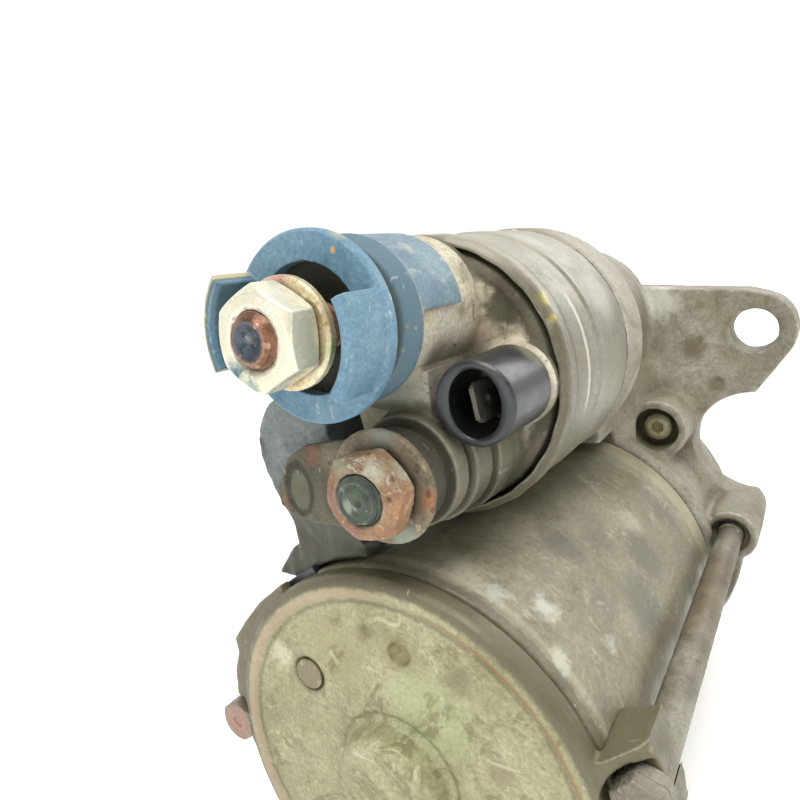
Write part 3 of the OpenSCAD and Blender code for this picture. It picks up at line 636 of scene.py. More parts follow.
M["yoke"] = worn("yoke_steel", "#756f57", "#969078", "#b0aa92", grime_and_shade="#453f2c", edge="#cfcab6", rough=(0.40, 0.62), big=32, med=150, fine=1300,
                 bump=0.5, edge_amt=0.6, grime_and_shade_amt=0.45, ao=0.008, scratch=0.5, sc_col="#dcd8c8", pits=0.3, off=1.3,
                 spots=(((-88.9, -20.7, 31.2), 2.0, 6.0, "#5b5646", 0.75, 3.5), ((-79, -24, 28.5), 1.0, 5.0, "#625d4d", 0.6, 3.0),
                        ((-69.8, -30, 22.3), 3.0, 8.5, "#5d594b", 0.75, 4.0), ((-82, -33, 17.5), 3.0, 9.0, "#5f5d52", 0.7, 4.0), ((-48.3, -30.1, 22.2), 2.0, 6.5, "#635e4d", 0.7, 3.0),
                        ((-94.6, -28.3, 24.5), 1.0, 4.0, "#6a675a", 0.55, 2.5), ((-63.8, -26, 26.9), 1.0, 4.5, "#b9b39c", 0.45, 2.5),
                        ((-107.7, -23.6, 29), 0.6, 3.6, "#cfcfc0", 0.6, 3.0), ((-113, -17, 33), 0.6, 3.2, "#c9cabc", 0.6, 2.8), ((-114.4, -28, 24.8), 0.5, 3.0, "#cdccbd", 0.55, 2.6),
                        ((-100, -31.5, 20), 0.4, 2.2, "#d8d6c8", 0.6, 1.8), ((-92, -11, 35.8), 2.0, 9.0, "#b9b298", 0.6, 4.0), ((-112, -12, 35.4), 1.0, 6.0, "#b5b09a", 0.6, 3.5)),
                 # Dark band at the rear end of the yoke, at the joint with the cover: painted shade.
                 zones=((lambda g: g.slab(0, -118.4, -116.2, 0.4, 0.9), "#524c38", 0.6),
                        (lambda g: g.slab(0, -115.2, -113.8, 0.5, 0.8), "#b7b097", 0.30),
                        (lambda g: g.both(g.mr(g.noise(58, 5, 0.65, 1.6, off=3.0), 0.5, 0.6), g.slab(0, -113, -30, 1.0)), "#6d6754", 0.42),
                        (lambda g: g.both(g.mr(g.noise(150, 5, 0.7, 1.4, off=5.0), 0.57, 0.66), g.slab(0, -116, -30, 1.0)), "#bdb9a3", 0.35),
                        (lambda g: g.slab(0, -40, -33, 1.2, 1.5), "#b1a98c", 0.5)))
M["case"] = worn("case_steel", "#7b7664", "#969180", "#ada998", grime_and_shade="#4b4634", edge="#c9c5b6", metal=0.15, rough=(0.36, 0.54), big=30, med=150, fine=1200,
                 bump=0.3, edge_amt=0.3, grime_and_shade_amt=0.75, ao=0.005, scratch=0.3, sc_col="#dcd9cc", off=2.1,
                 spots=(((-95.6, -22.6, 78), 0.4, 2.0, "#c9b96c", 0.8, 1.6), ((-96.4, -24.3, 74.9), 0.3, 1.3, "#e3d65c", 0.95, 0.9),
                        ((-93, 2, 91.5), 1.0, 5.5, "#5b5436", 0.6, 2.0), ((-95, -12, 88), 1.0, 5.0, "#6d664e", 0.6, 2.5), ((-70, -24, 76), 2, 8, "#c5c1b2", 0.4, 3.0),
                        ((-82, -22, 78), 1.0, 5.0, "#857f6a", 0.5, 3.0), ((-74, -12, 88.5), 1.0, 6.0, "#d2cfc2", 0.5, 4.0), ((-88, -25, 66), 1.0, 6.0, "#7d7762", 0.55, 3.5),
                        ((-70, -26, 62), 2.0, 9.0, "#8b8672", 0.6, 4.0)),
                 zones=((lambda g: g.slab(0, -93.2, -90.6, 0.5, 1.0), "#5f5840", 0.7), (lambda g: g.slab(0, -97.4, -95.8, 0.35, 0.9), "#5b553c", 0.65),
                        # Lower part of the can darker and top lighter: painted shade and painted light.
                        (lambda g: g.slab(2, 30, 52, 4.0, 2.0), "#6a6653", 0.6), (lambda g: g.slab(2, 84.5, 100, 3.0, 2.0), "#aaa594", 0.5)),
                 # Thin bright band across the can: a painted highlight, with a darker band beside it as painted shade.
                 over=((lambda g: g.both(g.slab(0, -85.6, -84.4, 0.25, 0.35), g.slab(2, 57, 77, 2.0), g.mr(g.axis(1), -18 * MM, -12 * MM, 1.0, 0.0)), "#cfccbf", 0.75),
                       (lambda g: g.both(g.slab(0, -84.2, -82.6, 0.5, 0.5), g.slab(2, 57, 77, 2.0), g.mr(g.axis(1), -18 * MM, -12 * MM, 1.0, 0.0)), "#77725e", 0.5)))
M["cover"] = worn("yellow_zinc", "#8c8862", "#aba781", "#c0bc98", grime_and_shade="#574f33", edge="#c0b595", metal=0.15, rough=(0.36, 0.6), big=60, med=300, fine=1500,
                  bump=0.5, edge_amt=0.35, grime_and_shade_amt=0.75, ao=0.005, scratch=0.35, sc_col="#dcd8c0", pits=0.35, off=0.7,
                  spots=(((-122.3, -3.4, 24.3), 1.6, 4.4, "#8a7d55", 0.6, 1.2), ((-122.3, 17.6, 15.2), 2.6, 5.0, "#5b4f38", 0.7, 1.0),
                         ((-122.3, -8, 14), 3, 12, "#a5b17e", 0.45, 4.0), ((-122.3, 10, 22), 3, 10, "#938f62", 0.5, 3.0), ((-122.3, 3, 27), 0.5, 3.0, "#6a6245", 0.7, 2.2),
                         ((-122.3, -14, 22), 0.5, 3.6, "#6f6748", 0.6, 2.4), ((-122.3, -20, 8), 0.6, 4.0, "#756d4c", 0.55, 2.6), ((-122.3, 24, 18), 0.6, 4.0, "#d2cfb0", 0.6, 2.6)),
                  # Outer side of the cover darker: dirt and painted shade.
                  zones=((lambda g: g.ring(0, 0, 35.4, 60, 0.5, 0.6), "#5c5743", 0.85),
                         # Pinkish band on the +Y side of the raised rim: a painted highlight.
                         (lambda g: g.both(g.ring(0, 0, 33.3, 35.1, 0.4, 0.7), g.mr(g.axis(1), -8 * MM, 6 * MM)), "#ab9480", 0.6),
                         (lambda g: g.both(g.ring(0, 0, 33.2, 34.3, 0.35, 0.8), g.mr(g.axis(1), -14 * MM, -4 * MM, 1.0, 0.0)), "#8a6238", 0.6),
                         # Dark line inside the rim: painted shade in the groove.
                         (lambda g: g.ring(0, 0, 32.3, 33.1, 0.35, 0.6), "#4d4630", 0.5),
                         (lambda g: g.both(g.mr(g.noise(90, 6, 0.75, 1.5, off=4.0), 0.53, 0.62), g.ring(0, 0, 0, 32, 1.0)), "#6f6846", 0.65),
                         (lambda g: g.both(g.mr(g.noise(130, 6, 0.75, 1.5, off=9.0), 0.57, 0.66), g.ring(0, 0, 0, 33, 1.0)), "#cfd0aa", 0.5)),
                  over=((lambda g: g.both(g.mr(g.noise(420, 6, 0.8, 1.8, off=8.0), 0.60, 0.66), g.ring(0, 0, 0, 32, 1.0)), "#4c4530", 0.55),))
M["cap"] = worn("dusty_moulding", "#b0a78d", "#d4cbb2", "#e6dfcb", grime_and_shade="#3e3a2b", edge="#cfc8b3", rough=(0.55, 0.8), big=60, med=300, fine=1600,
                bump=0.6, edge_amt=0.3, grime_and_shade_amt=0.6, ao=0.005, scratch=0.12, off=3.1, spec=0.35, ao_rng=(0.3, 0.9),
                spots=(((-98, -15.8, 76.9), 1.6, 4.6, "#3d3a29", 0.85, 2.6), ((-98, -17.1, 81), 1.0, 3.6, "#454130", 0.8, 2.4), ((-98, -18.5, 76.8), 1.0, 3.6, "#4b4733", 0.8, 2.0),
                       ((-97, -22, 60), 2, 7, "#4f4c39", 0.8, 2.0), ((-112, 0, 68), 3, 10, "#a3a89c", 0.8, 2.5), ((-98, -18.9, 71.7), 0.6, 2.4, "#d8c9b4", 0.7, 1.0),
                       ((-98, -11.7, 73.8), 1.0, 4.0, "#c8ac94", 0.6, 2.0), ((-110, -10, 72), 1.0, 4.0, "#8a836c", 0.6, 2.5), ((-104, -12, 78), 0.4, 2.0, "#6b6550", 0.6, 1.5),
                       ((-101, -11.5, 84), 0.6, 3.0, "#7d7861", 0.6, 2.0)),
                zones=((lambda g: g.both(g.ring(0, SZ, 21.4, 27, 0.8, 1.6), g.slab(0, -99, -90, 0.3)), "#3d3828", 0.85),
                       # Darker around and below the motor-terminal post and on the lower part of the cap: painted
                       # shade.
                       (lambda g: g.both(g.ring(MY, MZ, 0, 13.5, 0.8, 1.2), g.slab(2, 0, 64.5, 1.0, 1.0)), "#5d5a48", 0.85),
                       (lambda g: g.both(g.ring(MY, MZ, 0, 9.2, 0.3), g.slab(2, 0, 64.5, 1.0)), "#23221b", 0.75),
                       (lambda g: g.both(g.slab(2, 0, 50, 3.0, 2.0), g.slab(0, -110, -90, 1.0)), "#2f2e20", 0.75),
                       # Post face inside the guard, behind the battery nut, near black: painted shade in the gap.
                       (lambda g: g.both(g.slab(0, -126, -121.0, 0.2), g.ring(BY, BZ, 0, 10.6, 0.15)), "#15130d", 0.93),
                       (lambda g: g.both(g.slab(0, -126, -121.0, 0.2), g.ring(BY, BZ, 10.7, 12, 0.15)), "#b9ac84", 0.6)),
                over=((lambda g: g.both(g.ring(-11, SZ + 12, 1.7, 2.6, 0.2), g.slab(0, -98.6, -97.2, 0.1)), "#8a846e", 0.5),
                      (lambda g: g.both(g.mr(g.noise(380, 5, 0.75, 0.8, off=6.0), 0.60, 0.66), g.slab(2, 60, 95, 1.0)), "#4a4634", 0.6)))
M["guard"] = worn("blue_moulding", "#52778c", "#6a90a6", "#84a4b4", grime_and_shade="#3f4d4b", edge="#9fb4b8", rough=(0.40, 0.58), big=70, med=330, fine=1800,
                  bump=0.25, edge_amt=0.35, grime_and_shade_amt=0.5, ao=0.0025, scratch=0.5, sc_col="#bfd0d4", off=4.2, spec=0.45,
                  spots=(((-126.3, -13, 82), 0.3, 1.1, "#e3e2d2", 0.95, 0.5), ((-127.2, -7, 91.5), 0.4, 2.0, "#a99a6a", 0.7, 0.8),
                         ((-128.7, -6.5, 89.2), 0.15, 0.7, "#c39a55", 0.9, 0.4), ((-126.2, -2, 91.8), 0.3, 2.4, "#b3ab86", 0.45, 1.0)),
                  zones=((lambda g: g.both(g.ring(BY, BZ, 12.35, 20, 0.12, 0.15), g.slab(0, -140, -128.9, 0.15), g.mr(g.axis(1), 0, 2 * MM)), "#b9ad86", 0.9),
                         (lambda g: g.both(g.ring(BY, BZ, 11.9, 12.5, 0.1, 0.1), g.slab(0, -140, -128.9, 0.15), g.mr(g.axis(1), 0, 2 * MM)), "#4d5a5a", 0.7)),
                  # Inner side of the left wall darker blue: painted shade.
                  over=((lambda g: g.both(g.ring(BY, BZ, 9, 11.75, 0.1), g.slab(0, -140, -128.9, 0.15), g.mr(g.axis(1), 0, 2 * MM)), "#3c5a6a", 0.65),
                        (lambda g: g.both(g.mr(g.noise(240, 5, 0.7, 0.8, off=2.0), 0.58, 0.66), g.edge(0.505, 0.54)), "#3a4543", 0.75),
                        (lambda g: g.both(g.mr(g.noise(300, 5, 0.7, 0.8, off=6.0), 0.62, 0.68), g.edge(0.508, 0.54)), "#bba873", 0.8)))
M["sleeve"] = worn("blue_sleeve", "#62798a", "#778f9b", "#8fa3aa", grime_and_shade="#5a5d4e", edge="#98937a", rough=(0.5, 0.7), big=70, med=260, fine=1700,
                   bump=0.35, edge_amt=0.5, grime_and_shade_amt=0.7, ao=0.004, scratch=0.3, sc_col="#cfd6d2", off=5.2, spec=0.4,
                   # Front ring of the sleeve darker: dirt and painted shade; the dark line at its rear edge is painted
                   # shade in the groove.
                   zones=((lambda g: g.slab(0, -121.8, -118.75, 0.12), "#536c78", 0.85),
                          (lambda g: g.slab(0, -118.75, -118.45, 0.1), "#2f3a3c", 0.5),
                          (lambda g: g.both(g.mr(g.noise(150, 5, 0.7, 1.0, off=1.0), 0.5, 0.62), g.slab(0, -118.4, -100, 0.1)), "#a7aaa0", 0.65)))
M["bright_zinc"] = worn("bright_zinc", "#d2ceb3", "#dcd8bf", "#e6e3cf", grime_and_shade="#57503a", edge="#fdfbf0", metal=0.3, rough=(0.2, 0.32), big=120, med=300, fine=2200, tone=0.12,
                        bump=0.12, edge_amt=0.6, grime_and_shade_amt=0.5, ao=0.0012, scratch=0.5, off=0.9, coat=0.15,
                        spots=(((-139.2, 4.6, 74.5), 0.8, 2.6, "#3f6f74", 0.8, 1.6), ((-139.0, 1.5, 72.6), 0.4, 1.8, "#4f7d72", 0.7, 1.2), ((-137, -5.5, 80), 0.6, 2.8, "#c2c8a8", 0.4, 1.0),
                               # Olive patch on the lower right facet of the nut: a painted reflection.
                               ((-137, -4.5, 74.0), 0.4, 2.4, "#707a5c", 0.75, 0.8)),
                        over=((lambda g: g.both(g.mr(g.noise(420, 4, 0.7, off=7.0), 0.52, 0.6), g.edge(0.52, 0.56)), "#6f5a35", 0.6),
                              (lambda g: g.both(g.mr(g.noise(700, 3, 0.7, off=9.0), 0.5, 0.56), g.near((-139, 3.5, 73.4), 1.2, 4.2, 1.0)), "#2f5f66", 0.85)))
M["gold_zinc"] = worn("iridescent_zinc", "#c9b07f", "#e6d5ab", "#f3e7c9", grime_and_shade="#4a3f2c", edge="#f8edcf", metal=0.4, rough=(0.22, 0.4), big=140, med=420, fine=2200,
                      bump=0.3, edge_amt=0.6, grime_and_shade_amt=0.45, ao=0.0012, off=1.9,
                      spots=(((-133, 0, 87), 0.5, 3.5, "#c98a86", 0.6, 1.5), ((-133, 5, 86), 0.5, 3.0, "#d3a08f", 0.5, 1.5), ((-133, -8, 76), 0.5, 2.4, "#a8b57c", 0.55, 1.2)))
M["copper"] = worn("copper_thread", "#664534", "#8f6650", "#ab7f66", grime_and_shade="#3a2a22", edge="#d9b296", metal=0.55, rough=(0.28, 0.5), big=150, med=600, fine=2400,
                   bump=0.4, edge_amt=0.5, grime_and_shade_amt=0.6, ao=0.001, off=2.9,
                   spots=(((-140.2, 0, 78.8), 2.35, 2.95, "#46525b", 0.93, 0.3), ((-140.2, 0.4, 79.0), 0.2, 1.0, "#8a979d", 0.6, 0.5), ((-140.2, -0.9, 78.0), 0.1, 0.8, "#1f2a33", 0.8, 0.5)),
                   over=((lambda g: g.both(g.mr(g.noise(900, 3, 0.7, off=3.0), 0.5, 0.56), g.near((-140.2, 0, 78.8), 1.9, 2.5, 0.2)), "#232c34", 0.7),))
M["rust"] = worn("rusty_nut", "#86634c", "#a3805f", "#b99c7c", grime_and_shade="#2f2620", edge="#b9b29c", metal=0.1, rough=(0.6, 0.85), big=190, med=620, fine=2300,
                 bump=1.0, edge_amt=0.5, grime_and_shade_amt=0.65, ao=0.002, scratch=0.1, pits=1.0, off=3.9,
                 spots=(((-128.0, -1.5, 59.2), 0.8, 3.4, "#9c9c80", 0.85, 2.0), ((-126, 1.5, 59.3), 0.8, 3.4, "#a5a588", 0.8, 1.8), ((-128, -8, 58), 0.6, 2.6, "#b9bca8", 0.7, 1.6),
                        ((-124, -10.5, 57.5), 0.6, 2.8, "#b2b09c", 0.7, 1.2), ((-126, -11, 52.5), 0.8, 3.2, "#a8724e", 0.7, 1.5), ((-127.5, -7.5, 50), 0.6, 3.0, "#a67554", 0.6, 1.5),
                        ((-128.6, 0.6, 52), 0.8, 3.4, "#93695f", 0.75, 1.4), ((-128.6, -2, 48.2), 0.6, 3.0, "#9a6d5e", 0.65, 1.4)),
                 over=((lambda g: g.both(g.mr(g.noise(260, 6, 0.8, 1.0, off=5.0), 0.55, 0.61), g.mr(g.axis(2), 52 * MM, 60 * MM)), "#c6c8b6", 0.75),
                       (lambda g: g.both(g.mr(g.noise(300, 6, 0.8, 1.0, off=9.0), 0.53, 0.62), g.slab(0, -126.5, -122, 0.6)), "#b5b5a2", 0.5),
                       (lambda g: g.mr(g.noise(380, 6, 0.75, 0.6, off=1.4), 0.6, 0.68), "#4a3424", 0.5)))
M["tarnish"] = worn("tarnished_washer", "#6b5f49", "#90816a", "#ab9c83", grime_and_shade="#2d2a21", edge="#b0ab93", metal=0.15, rough=(0.5, 0.75), big=150, med=500, fine=2200,
                    bump=0.8, edge_amt=0.45, grime_and_shade_amt=0.8, ao=0.002, pits=0.7, off=21.9,
                    spots=(((-122.5, -8, 46), 1.0, 3.6, "#8fa08f", 0.7, 1.5), ((-122.5, -13.5, 52), 0.6, 2.6, "#a0673f", 0.6, 1.2), ((-122.5, -6, 62.4), 1.0, 4.0, "#8e9c93", 0.6, 2.0)))
M["verdigris"] = worn("grey_green_stud", "#343d34", "#4a5549", "#636f60", grime_and_shade="#2b302a", edge="#a9b09e", metal=0.15, rough=(0.45, 0.7), big=190, med=600, fine=2200,
                      bump=0.8, edge_amt=0.4, grime_and_shade_amt=0.75, ao=0.002, pits=0.6, off=4.9,
                      # Light dot on the dome at the stud's tip is a painted highlight; the two dark dots to its right
                      # are its painted shadow.
                      spots=(((-130.3, -3.9, 53.0), 0.4, 1.4, "#97a18d", 0.65, 0.6), ((-130.3, -6.0, 53.6), 0.3, 0.9, "#2b302b", 0.85, 0.4), ((-130.0, -5.2, 51.8), 0.2, 0.8, "#2b302b", 0.7, 0.4)))
M["lug"] = worn("tarnished_lug", "#3d3a2c", "#575341", "#706a54", grime_and_shade="#24221b", edge="#988f70", metal=0.1, rough=(0.5, 0.75), big=120, med=420, fine=2000,
                bump=0.8, edge_amt=0.4, grime_and_shade_amt=0.85, ao=0.003, pits=0.6, off=5.9,
                spots=(((-121, 15, 50), 1, 4, "#4b3d2a", 0.6, 2.0), ((-121, 17.2, 49), 0.4, 2.2, "#7b5337", 0.75, 1.2), ((-121.6, 9, 57.5), 0.5, 3.0, "#7d5540", 0.6, 1.5),
                       ((-121.7, 5.0, 57), 0.8, 4.0, "#8a8068", 0.5, 1.6)),
                zones=((lambda g: g.near((-121.6, 13.4, 51.2), 3.6, 4.4, 0.7, 500, (0.3, 1.25, 0.8)), "#2a271c", 0.85),
                       (lambda g: g.near((-121.6, 13.2, 51.0), 2.2, 2.9, 0.5, 500, (0.3, 1.25, 0.72)), "#5f5f4c", 0.9)))
M["boot"] = worn("grey_rubber", "#59615f", "#6d7674", "#7f8885", grime_and_shade="#3b3c34", edge="#aeb5b0", rough=(0.30, 0.48), big=60, med=240, fine=1500,
                 bump=0.3, edge_amt=0.2, grime_and_shade_amt=0.55, ao=0.003, scratch=0.15, off=6.9,
                 spots=(((-116, 25.9, 57), 0.6, 2.6, "#26251f", 0.92, 1.8), ((-112, 25.9, 54.5), 0.8, 3.0, "#2c2b26", 0.85, 2.0)),
                 zones=((lambda g: g.slab(2, 20, 46.5, 1.6, 1.5), "#4a4738", 0.9), (lambda g: g.slab(2, 20, 41.0, 1.2, 1.2), "#3b3829", 0.7)))
M["black"] = worn("black_moulding", "#17191a", "#222628", "#30353a", grime_and_shade="#39372c", edge="#4a4f4e", rough=(0.36, 0.48), big=80, med=300, fine=1800,
                  bump=0.12, edge_amt=0.35, grime_and_shade_amt=0.25, ao=0.002, scratch=0.2, sc_col="#6a6e6c", off=7.9, spec=0.6,
                  spots=(((-101, -22, 70), 1.2, 3.6, "#8d8874", 0.6, 1.2),),
                  coat=0.22,
                  zones=((lambda g: g.both(g.ring(-17.8, 64.6, 0, 5.3, 0.1), g.slab(0, -113.9, -100, 0.3)), "#0b0b0a", 0.9),))
M["blade"] = worn("tinned_blade", "#26251e", "#37362d", "#4c4a3e", grime_and_shade="#2a281f", edge="#c9c7b4", metal=0.2, rough=(0.35, 0.6), big=200, med=700, fine=2400,
                  bump=0.5, edge_amt=0.12, grime_and_shade_amt=0.5, ao=0.001, pits=0.5, off=8.9, pe=(0.51, 0.54))
M["screw"] = worn("housing_screw", "#8f8b66", "#b5b189", "#cfcba8", grime_and_shade="#5a5234", edge="#e0dcbc", metal=0.15, rough=(0.4, 0.6), big=120, med=420, fine=1900,
                  bump=0.35, edge_amt=0.4, grime_and_shade_amt=0.5, ao=0.002, pits=0.3, off=20.9)
M["rod"] = worn("bolt_steel", "#625a4b", "#8b8675", "#a8a494", grime_and_shade="#3a3122", edge="#b7b3a3", metal=0.2, rough=(0.45, 0.7), big=60, med=300, fine=1800,
                bump=0.4, edge_amt=0.4, grime_and_shade_amt=0.7, ao=0.004, pits=0.4, off=9.9,
                # Large brown patch along the middle of the bolt beside the yoke: painted shade.
                spots=(((-121.6, 41.6, -3), 1, 6, "#a5786a", 0.8, 2.5), ((-60, -38.5, 8), 6, 30, "#6b5a40", 0.5, 6)))
M["steel"] = worn("machined_steel", "#6c6c68", "#8e8d88", "#aaa9a4", grime_and_shade="#35322b", edge="#d6d5cf", metal=0.85, rough=(0.28, 0.45), big=70, med=300, fine=1900,
                  bump=0.15, edge_amt=0.7, grime_and_shade_amt=0.5, ao=0.002, off=10.9)
M["spring"] = worn("spring_wire", "#5e5e5b", "#868681", "#a9a8a3", grime_and_shade="#33302a", edge="#cfcec8", metal=0.85, rough=(0.3, 0.45), big=120, med=500, fine=2200,
                   bump=0.15, edge_amt=0.3, grime_and_shade_amt=0.4, ao=0.001, off=11.9)
M["bronze"] = worn("porous_bronze", "#7d5d2e", "#a9844a", "#c4a066", grime_and_shade="#3b2f1c", edge="#dcc08a", metal=0.8, rough=(0.35, 0.55), big=120, med=600, fine=2500,
                   bump=0.5, pits=0.8, off=12.9)
M["enamel"] = worn("enamelled_wire", "#7c3d1c", "#a5592c", "#c0763f", grime_and_shade="#33190d", edge="#dca06a", metal=0.6, rough=(0.25, 0.4), big=120, med=600, fine=2200,
                   bump=0.15, edge_amt=0.5, grime_and_shade_amt=0.7, ao=0.002, off=13.9)
M["comm"] = worn("commutator_copper", "#8c5333", "#b57a50", "#cf9a72", grime_and_shade="#2c1d15", edge="#e8bd95", metal=0.85, rough=(0.2, 0.38), big=90, med=400, fine=2000,
                 bump=0.15, edge_amt=0.6, grime_and_shade_amt=0.8, ao=0.0015, scratch=0.3, off=14.9)
M["lamin"] = worn("stacked_laminations", "#5e5c57", "#7d7b75", "#95938c", grime_and_shade="#2d2a24", edge="#bdbab1", metal=0.7, rough=(0.35, 0.55), big=80, med=400, fine=2000,
                  bump=0.2, edge_amt=0.5, grime_and_shade_amt=0.6, ao=0.002, off=15.9, stripes=(900, 0.35, "#3d3b36"))
M["dark"] = worn("dark_moulding", "#1b1c1c", "#2b2c2c", "#3d3e3d", grime_and_shade="#3b372b", edge="#6a6a66", rough=(0.4, 0.6), big=80, med=300, fine=1800, bump=0.25,
                 edge_amt=0.4, grime_and_shade_amt=0.4, ao=0.003, off=16.9)
M["board"] = worn("phenolic_board", "#3b2a1c", "#56402c", "#6d543c", grime_and_shade="#241b12", edge="#8d7355", rough=(0.5, 0.7), big=80, med=300, fine=1800, bump=0.3, off=17.9)
M["carbon"] = worn("carbon_brush", "#1d1c1b", "#2d2b2a", "#403d3b", grime_and_shade="#151312", edge="#6d6862", metal=0.2, rough=(0.35, 0.55), big=120, med=600, fine=2400, bump=0.3, pits=0.4, off=18.9)
M["ferrite"] = worn("ferrite", "#2a2a2c", "#3b3b3e", "#4d4d50", grime_and_shade="#1c1c1d", edge="#77777a", rough=(0.4, 0.6), big=80, med=400, fine=2000, bump=0.3, pits=0.5, off=19.9)
BY_SLOT = {"cast_aluminium": "cast", "yoke_steel": "yoke", "case_steel": "case", "zinc_plate": "cover", "cap_moulding": "cap", "guard_plastic": "guard",
           "black_plastic": "black", "terminal_zinc": "bright_zinc", "copper": "copper", "corroded_steel": "rod", "dull_tin": "lug", "boot_rubber": "boot",
           "machined_steel": "steel", "spring_steel": "spring", "bronze": "bronze", "dark_moulding": "dark", "brush_board": "board", "carbon": "carbon", "ferrite": "ferrite"}
BY_NODE = {"armature_core": "lamin", "armature_winding": "enamel", "coil_winding": "enamel", "commutator": "comm", "contact_disc": "comm",
           "guard_sleeve": "sleeve", "battery_washer": "gold_zinc", "motor_nut": "rust", "motor_stud": "verdigris", "motor_washer": "tarnish",
           "signal_blade": "blade", "coil_bobbin": "dark", "housing_screw": "screw"}


def mat_of(n):
    return M[BY_NODE.get(n) or BY_SLOT[SLOT[n]]]


# ------------------------------------------------------------------ battery terminal
cy, cz = axis_of("battery_stud")
lo, hi = B("battery_stud")
R8 = 4.0
V1 = threaded(lo[0], lo[0] + 15.4, R8, cy, cz, tip=[(0.75, 0.02), (0.72, 0.8), (0.62, 1.5), (0.30, 2.0), (0.06, 2.35), (0.0, 2.7)], chamfer=1.05)
V2 = lathe([(lo[0] + 15.2, 0.02), (lo[0] + 15.2, R8 - 0.03), (hi[0] - 2.7, R8 - 0.03), (hi[0] - 2.7, 6.5), (hi[0], 6.5), (hi[0], 0.02)], cy, cz, 96, 2.5, rnd=0.3)
V, F = join([V1, V2])
make("battery_stud_threaded", V, F, "battery_stud", mat=M["copper"], sharp=50)
nlo, nhi = B("battery_nut")
V, F = hexnut(nlo[0], nhi[0], 13.0, cy, cz, R8, rot=math.radians(4), rough=0.012, seed=3, rnd=0.15, face=0.93, slope=1.7)
make("battery_nut_v", V, F, "battery_nut", mat=M["bright_zinc"], sharp=60)
wlo, whi = B("battery_washer")
V, F = lathe([(wlo[0] + 0.05, 4.3), (wlo[0], 4.9), (wlo[0], 7.5), (wlo[0] + 0.35, 8.05), (whi[0] - 0.3, 8.05), (whi[0], 7.6), (whi[0], 4.9), (whi[0] - 0.1, 4.3)],
             cy, cz, 160, 0.5, closed=True, rnd=0.25, rfn=lambda X, R, T: (X, R - 0.05 * (1 + np.sin(3 * T + 1)) * (R > 7)))
make("battery_washer_v", V, F, "battery_washer", mat=M["gold_zinc"])

remesh("terminal_guard", "guard_disc", 0.2, M["guard"], smooth=5, sharp=80,
       disp=lambda P, N: 0.02 * fbm(P, 3.0, 4) - 0.02)
remesh("guard_sleeve", "guard_skirt", 0.22, M["sleeve"], smooth=4, sharp=80,
       disp=lambda P, N: 0.03 * fbm(P, 3.0, 5) - 0.02)

# ------------------------------------------------------------------ motor terminal
cy, cz = axis_of("motor_stud")
lo, hi = B("motor_stud")
V1 = threaded(lo[0] + 0.75, lo[0] + 10.5, R8, cy, cz, tip=[(-0.75, 0.02), (-0.74, 0.7), (-0.66, 1.3), (-0.45, 1.9), (-0.1, 2.3), (0.12, 2.55)], chamfer=0.9, depth=0.45)
V1 = (push(V1[0], V1[1], lambda q: 0.10 * (fbm(q, 1.4, 9) - 0.6)), V1[1])
V2 = lathe([(lo[0] + 10.3, 0.02), (lo[0] + 10.3, R8 - 0.03), (hi[0] - 2.7, R8 - 0.03), (hi[0] - 2.7, 6.5), (hi[0], 6.5), (hi[0], 0.02)], cy, cz, 96, 2.5, rnd=0.3)
V, F = join([V1, V2])
make("motor_stud_threaded", V, F, "motor_stud", mat=M["verdigris"], sharp=60)
nlo, nhi = B("motor_nut")
V, F = hexnut(nlo[0], nhi[0], 13.0, cy, cz, R8, rot=math.radians(20), rnd=0.35, rough=0.14, seed=8, face=0.86, slope=1.25)
make("motor_nut_v", V, F, "motor_nut", mat=M["rust"], sharp=80)
wlo, whi = B("motor_washer")
V, F = lathe([(wlo[0], 4.3), (wlo[0], 8.9), (wlo[0] + 0.3, 9.4), (whi[0] - 0.2, 9.4), (whi[0], 9.0), (whi[0], 4.3)], cy, cz, 160, 0.45, closed=True, rnd=0.25)
V = push(V, F, lambda q: 0.14 * (fbm(q, 1.8, 12) - 0.75))
make("motor_washer_v", V, F, "motor_washer", mat=M["tarnish"], sharp=80)
remesh("lead_lug", "lead_lug_v", 0.24, M["lug"], smooth=6, sharp=80, disp=lambda P, N: 0.12 * fbm(P, 2.2, 21) - 0.08)
remesh("lead_boot", "lead_boot_v", 0.32, M["boot"], smooth=14, sharp=80, disp=lambda P, N: 0.30 * fbm(P, 5.0, 22) + 0.16 * vnoise(P, 1.5, 23) - 0.26,
       extra=[(-117.4, -109.5, [(12.5, 36.4), (21.2, 38.0), (24.4, 34.6), (26.4, 31.8), (26.4, 31.1), (20.4, 31.1)]),
              (-117.2, -112.0, [(24.6, 60.9), (26.3, 58.6), (26.4, 55.4), (25.4, 52.6), (23.4, 54.0), (23.4, 60.0)])])

# ------------------------------------------------------------------ signal terminal
cy, cz = axis_of("signal_shroud")
lo, hi = B("signal_shroud")


def oval_mouth(X, R, T):
    """The mouth of the shroud is narrower across than it is tall."""
    inner = (R < 5.75) & (X < hi[0] - 2.2) & (R > 2.3)
    return X, np.where(inner, R - (R - 4.4) * np.clip(np.abs(np.cos(T)), 0, 1) ** 1.6 * np.clip((5.75 - R) / 0.3, 0, 1), R)


V, F = lathe([(lo[0] + 0.3, 5.4), (lo[0], 5.7), (lo[0], 6.3), (lo[0] + 0.4, 6.7), (hi[0], 6.9), (hi[0], 2.0), (hi[0] - 2.4, 2.0), (hi[0] - 2.4, 5.4)],
             cy, cz, 128, 0.5, closed=True, rnd=0.22, rfn=oval_mouth)
make("signal_shroud_v", V, F, "signal_shroud", mat=M["black"], sharp=50)

# ------------------------------------------------------------------ solenoid
cy, cz = axis_of("solenoid_case")
lo, hi = B("solenoid_case")


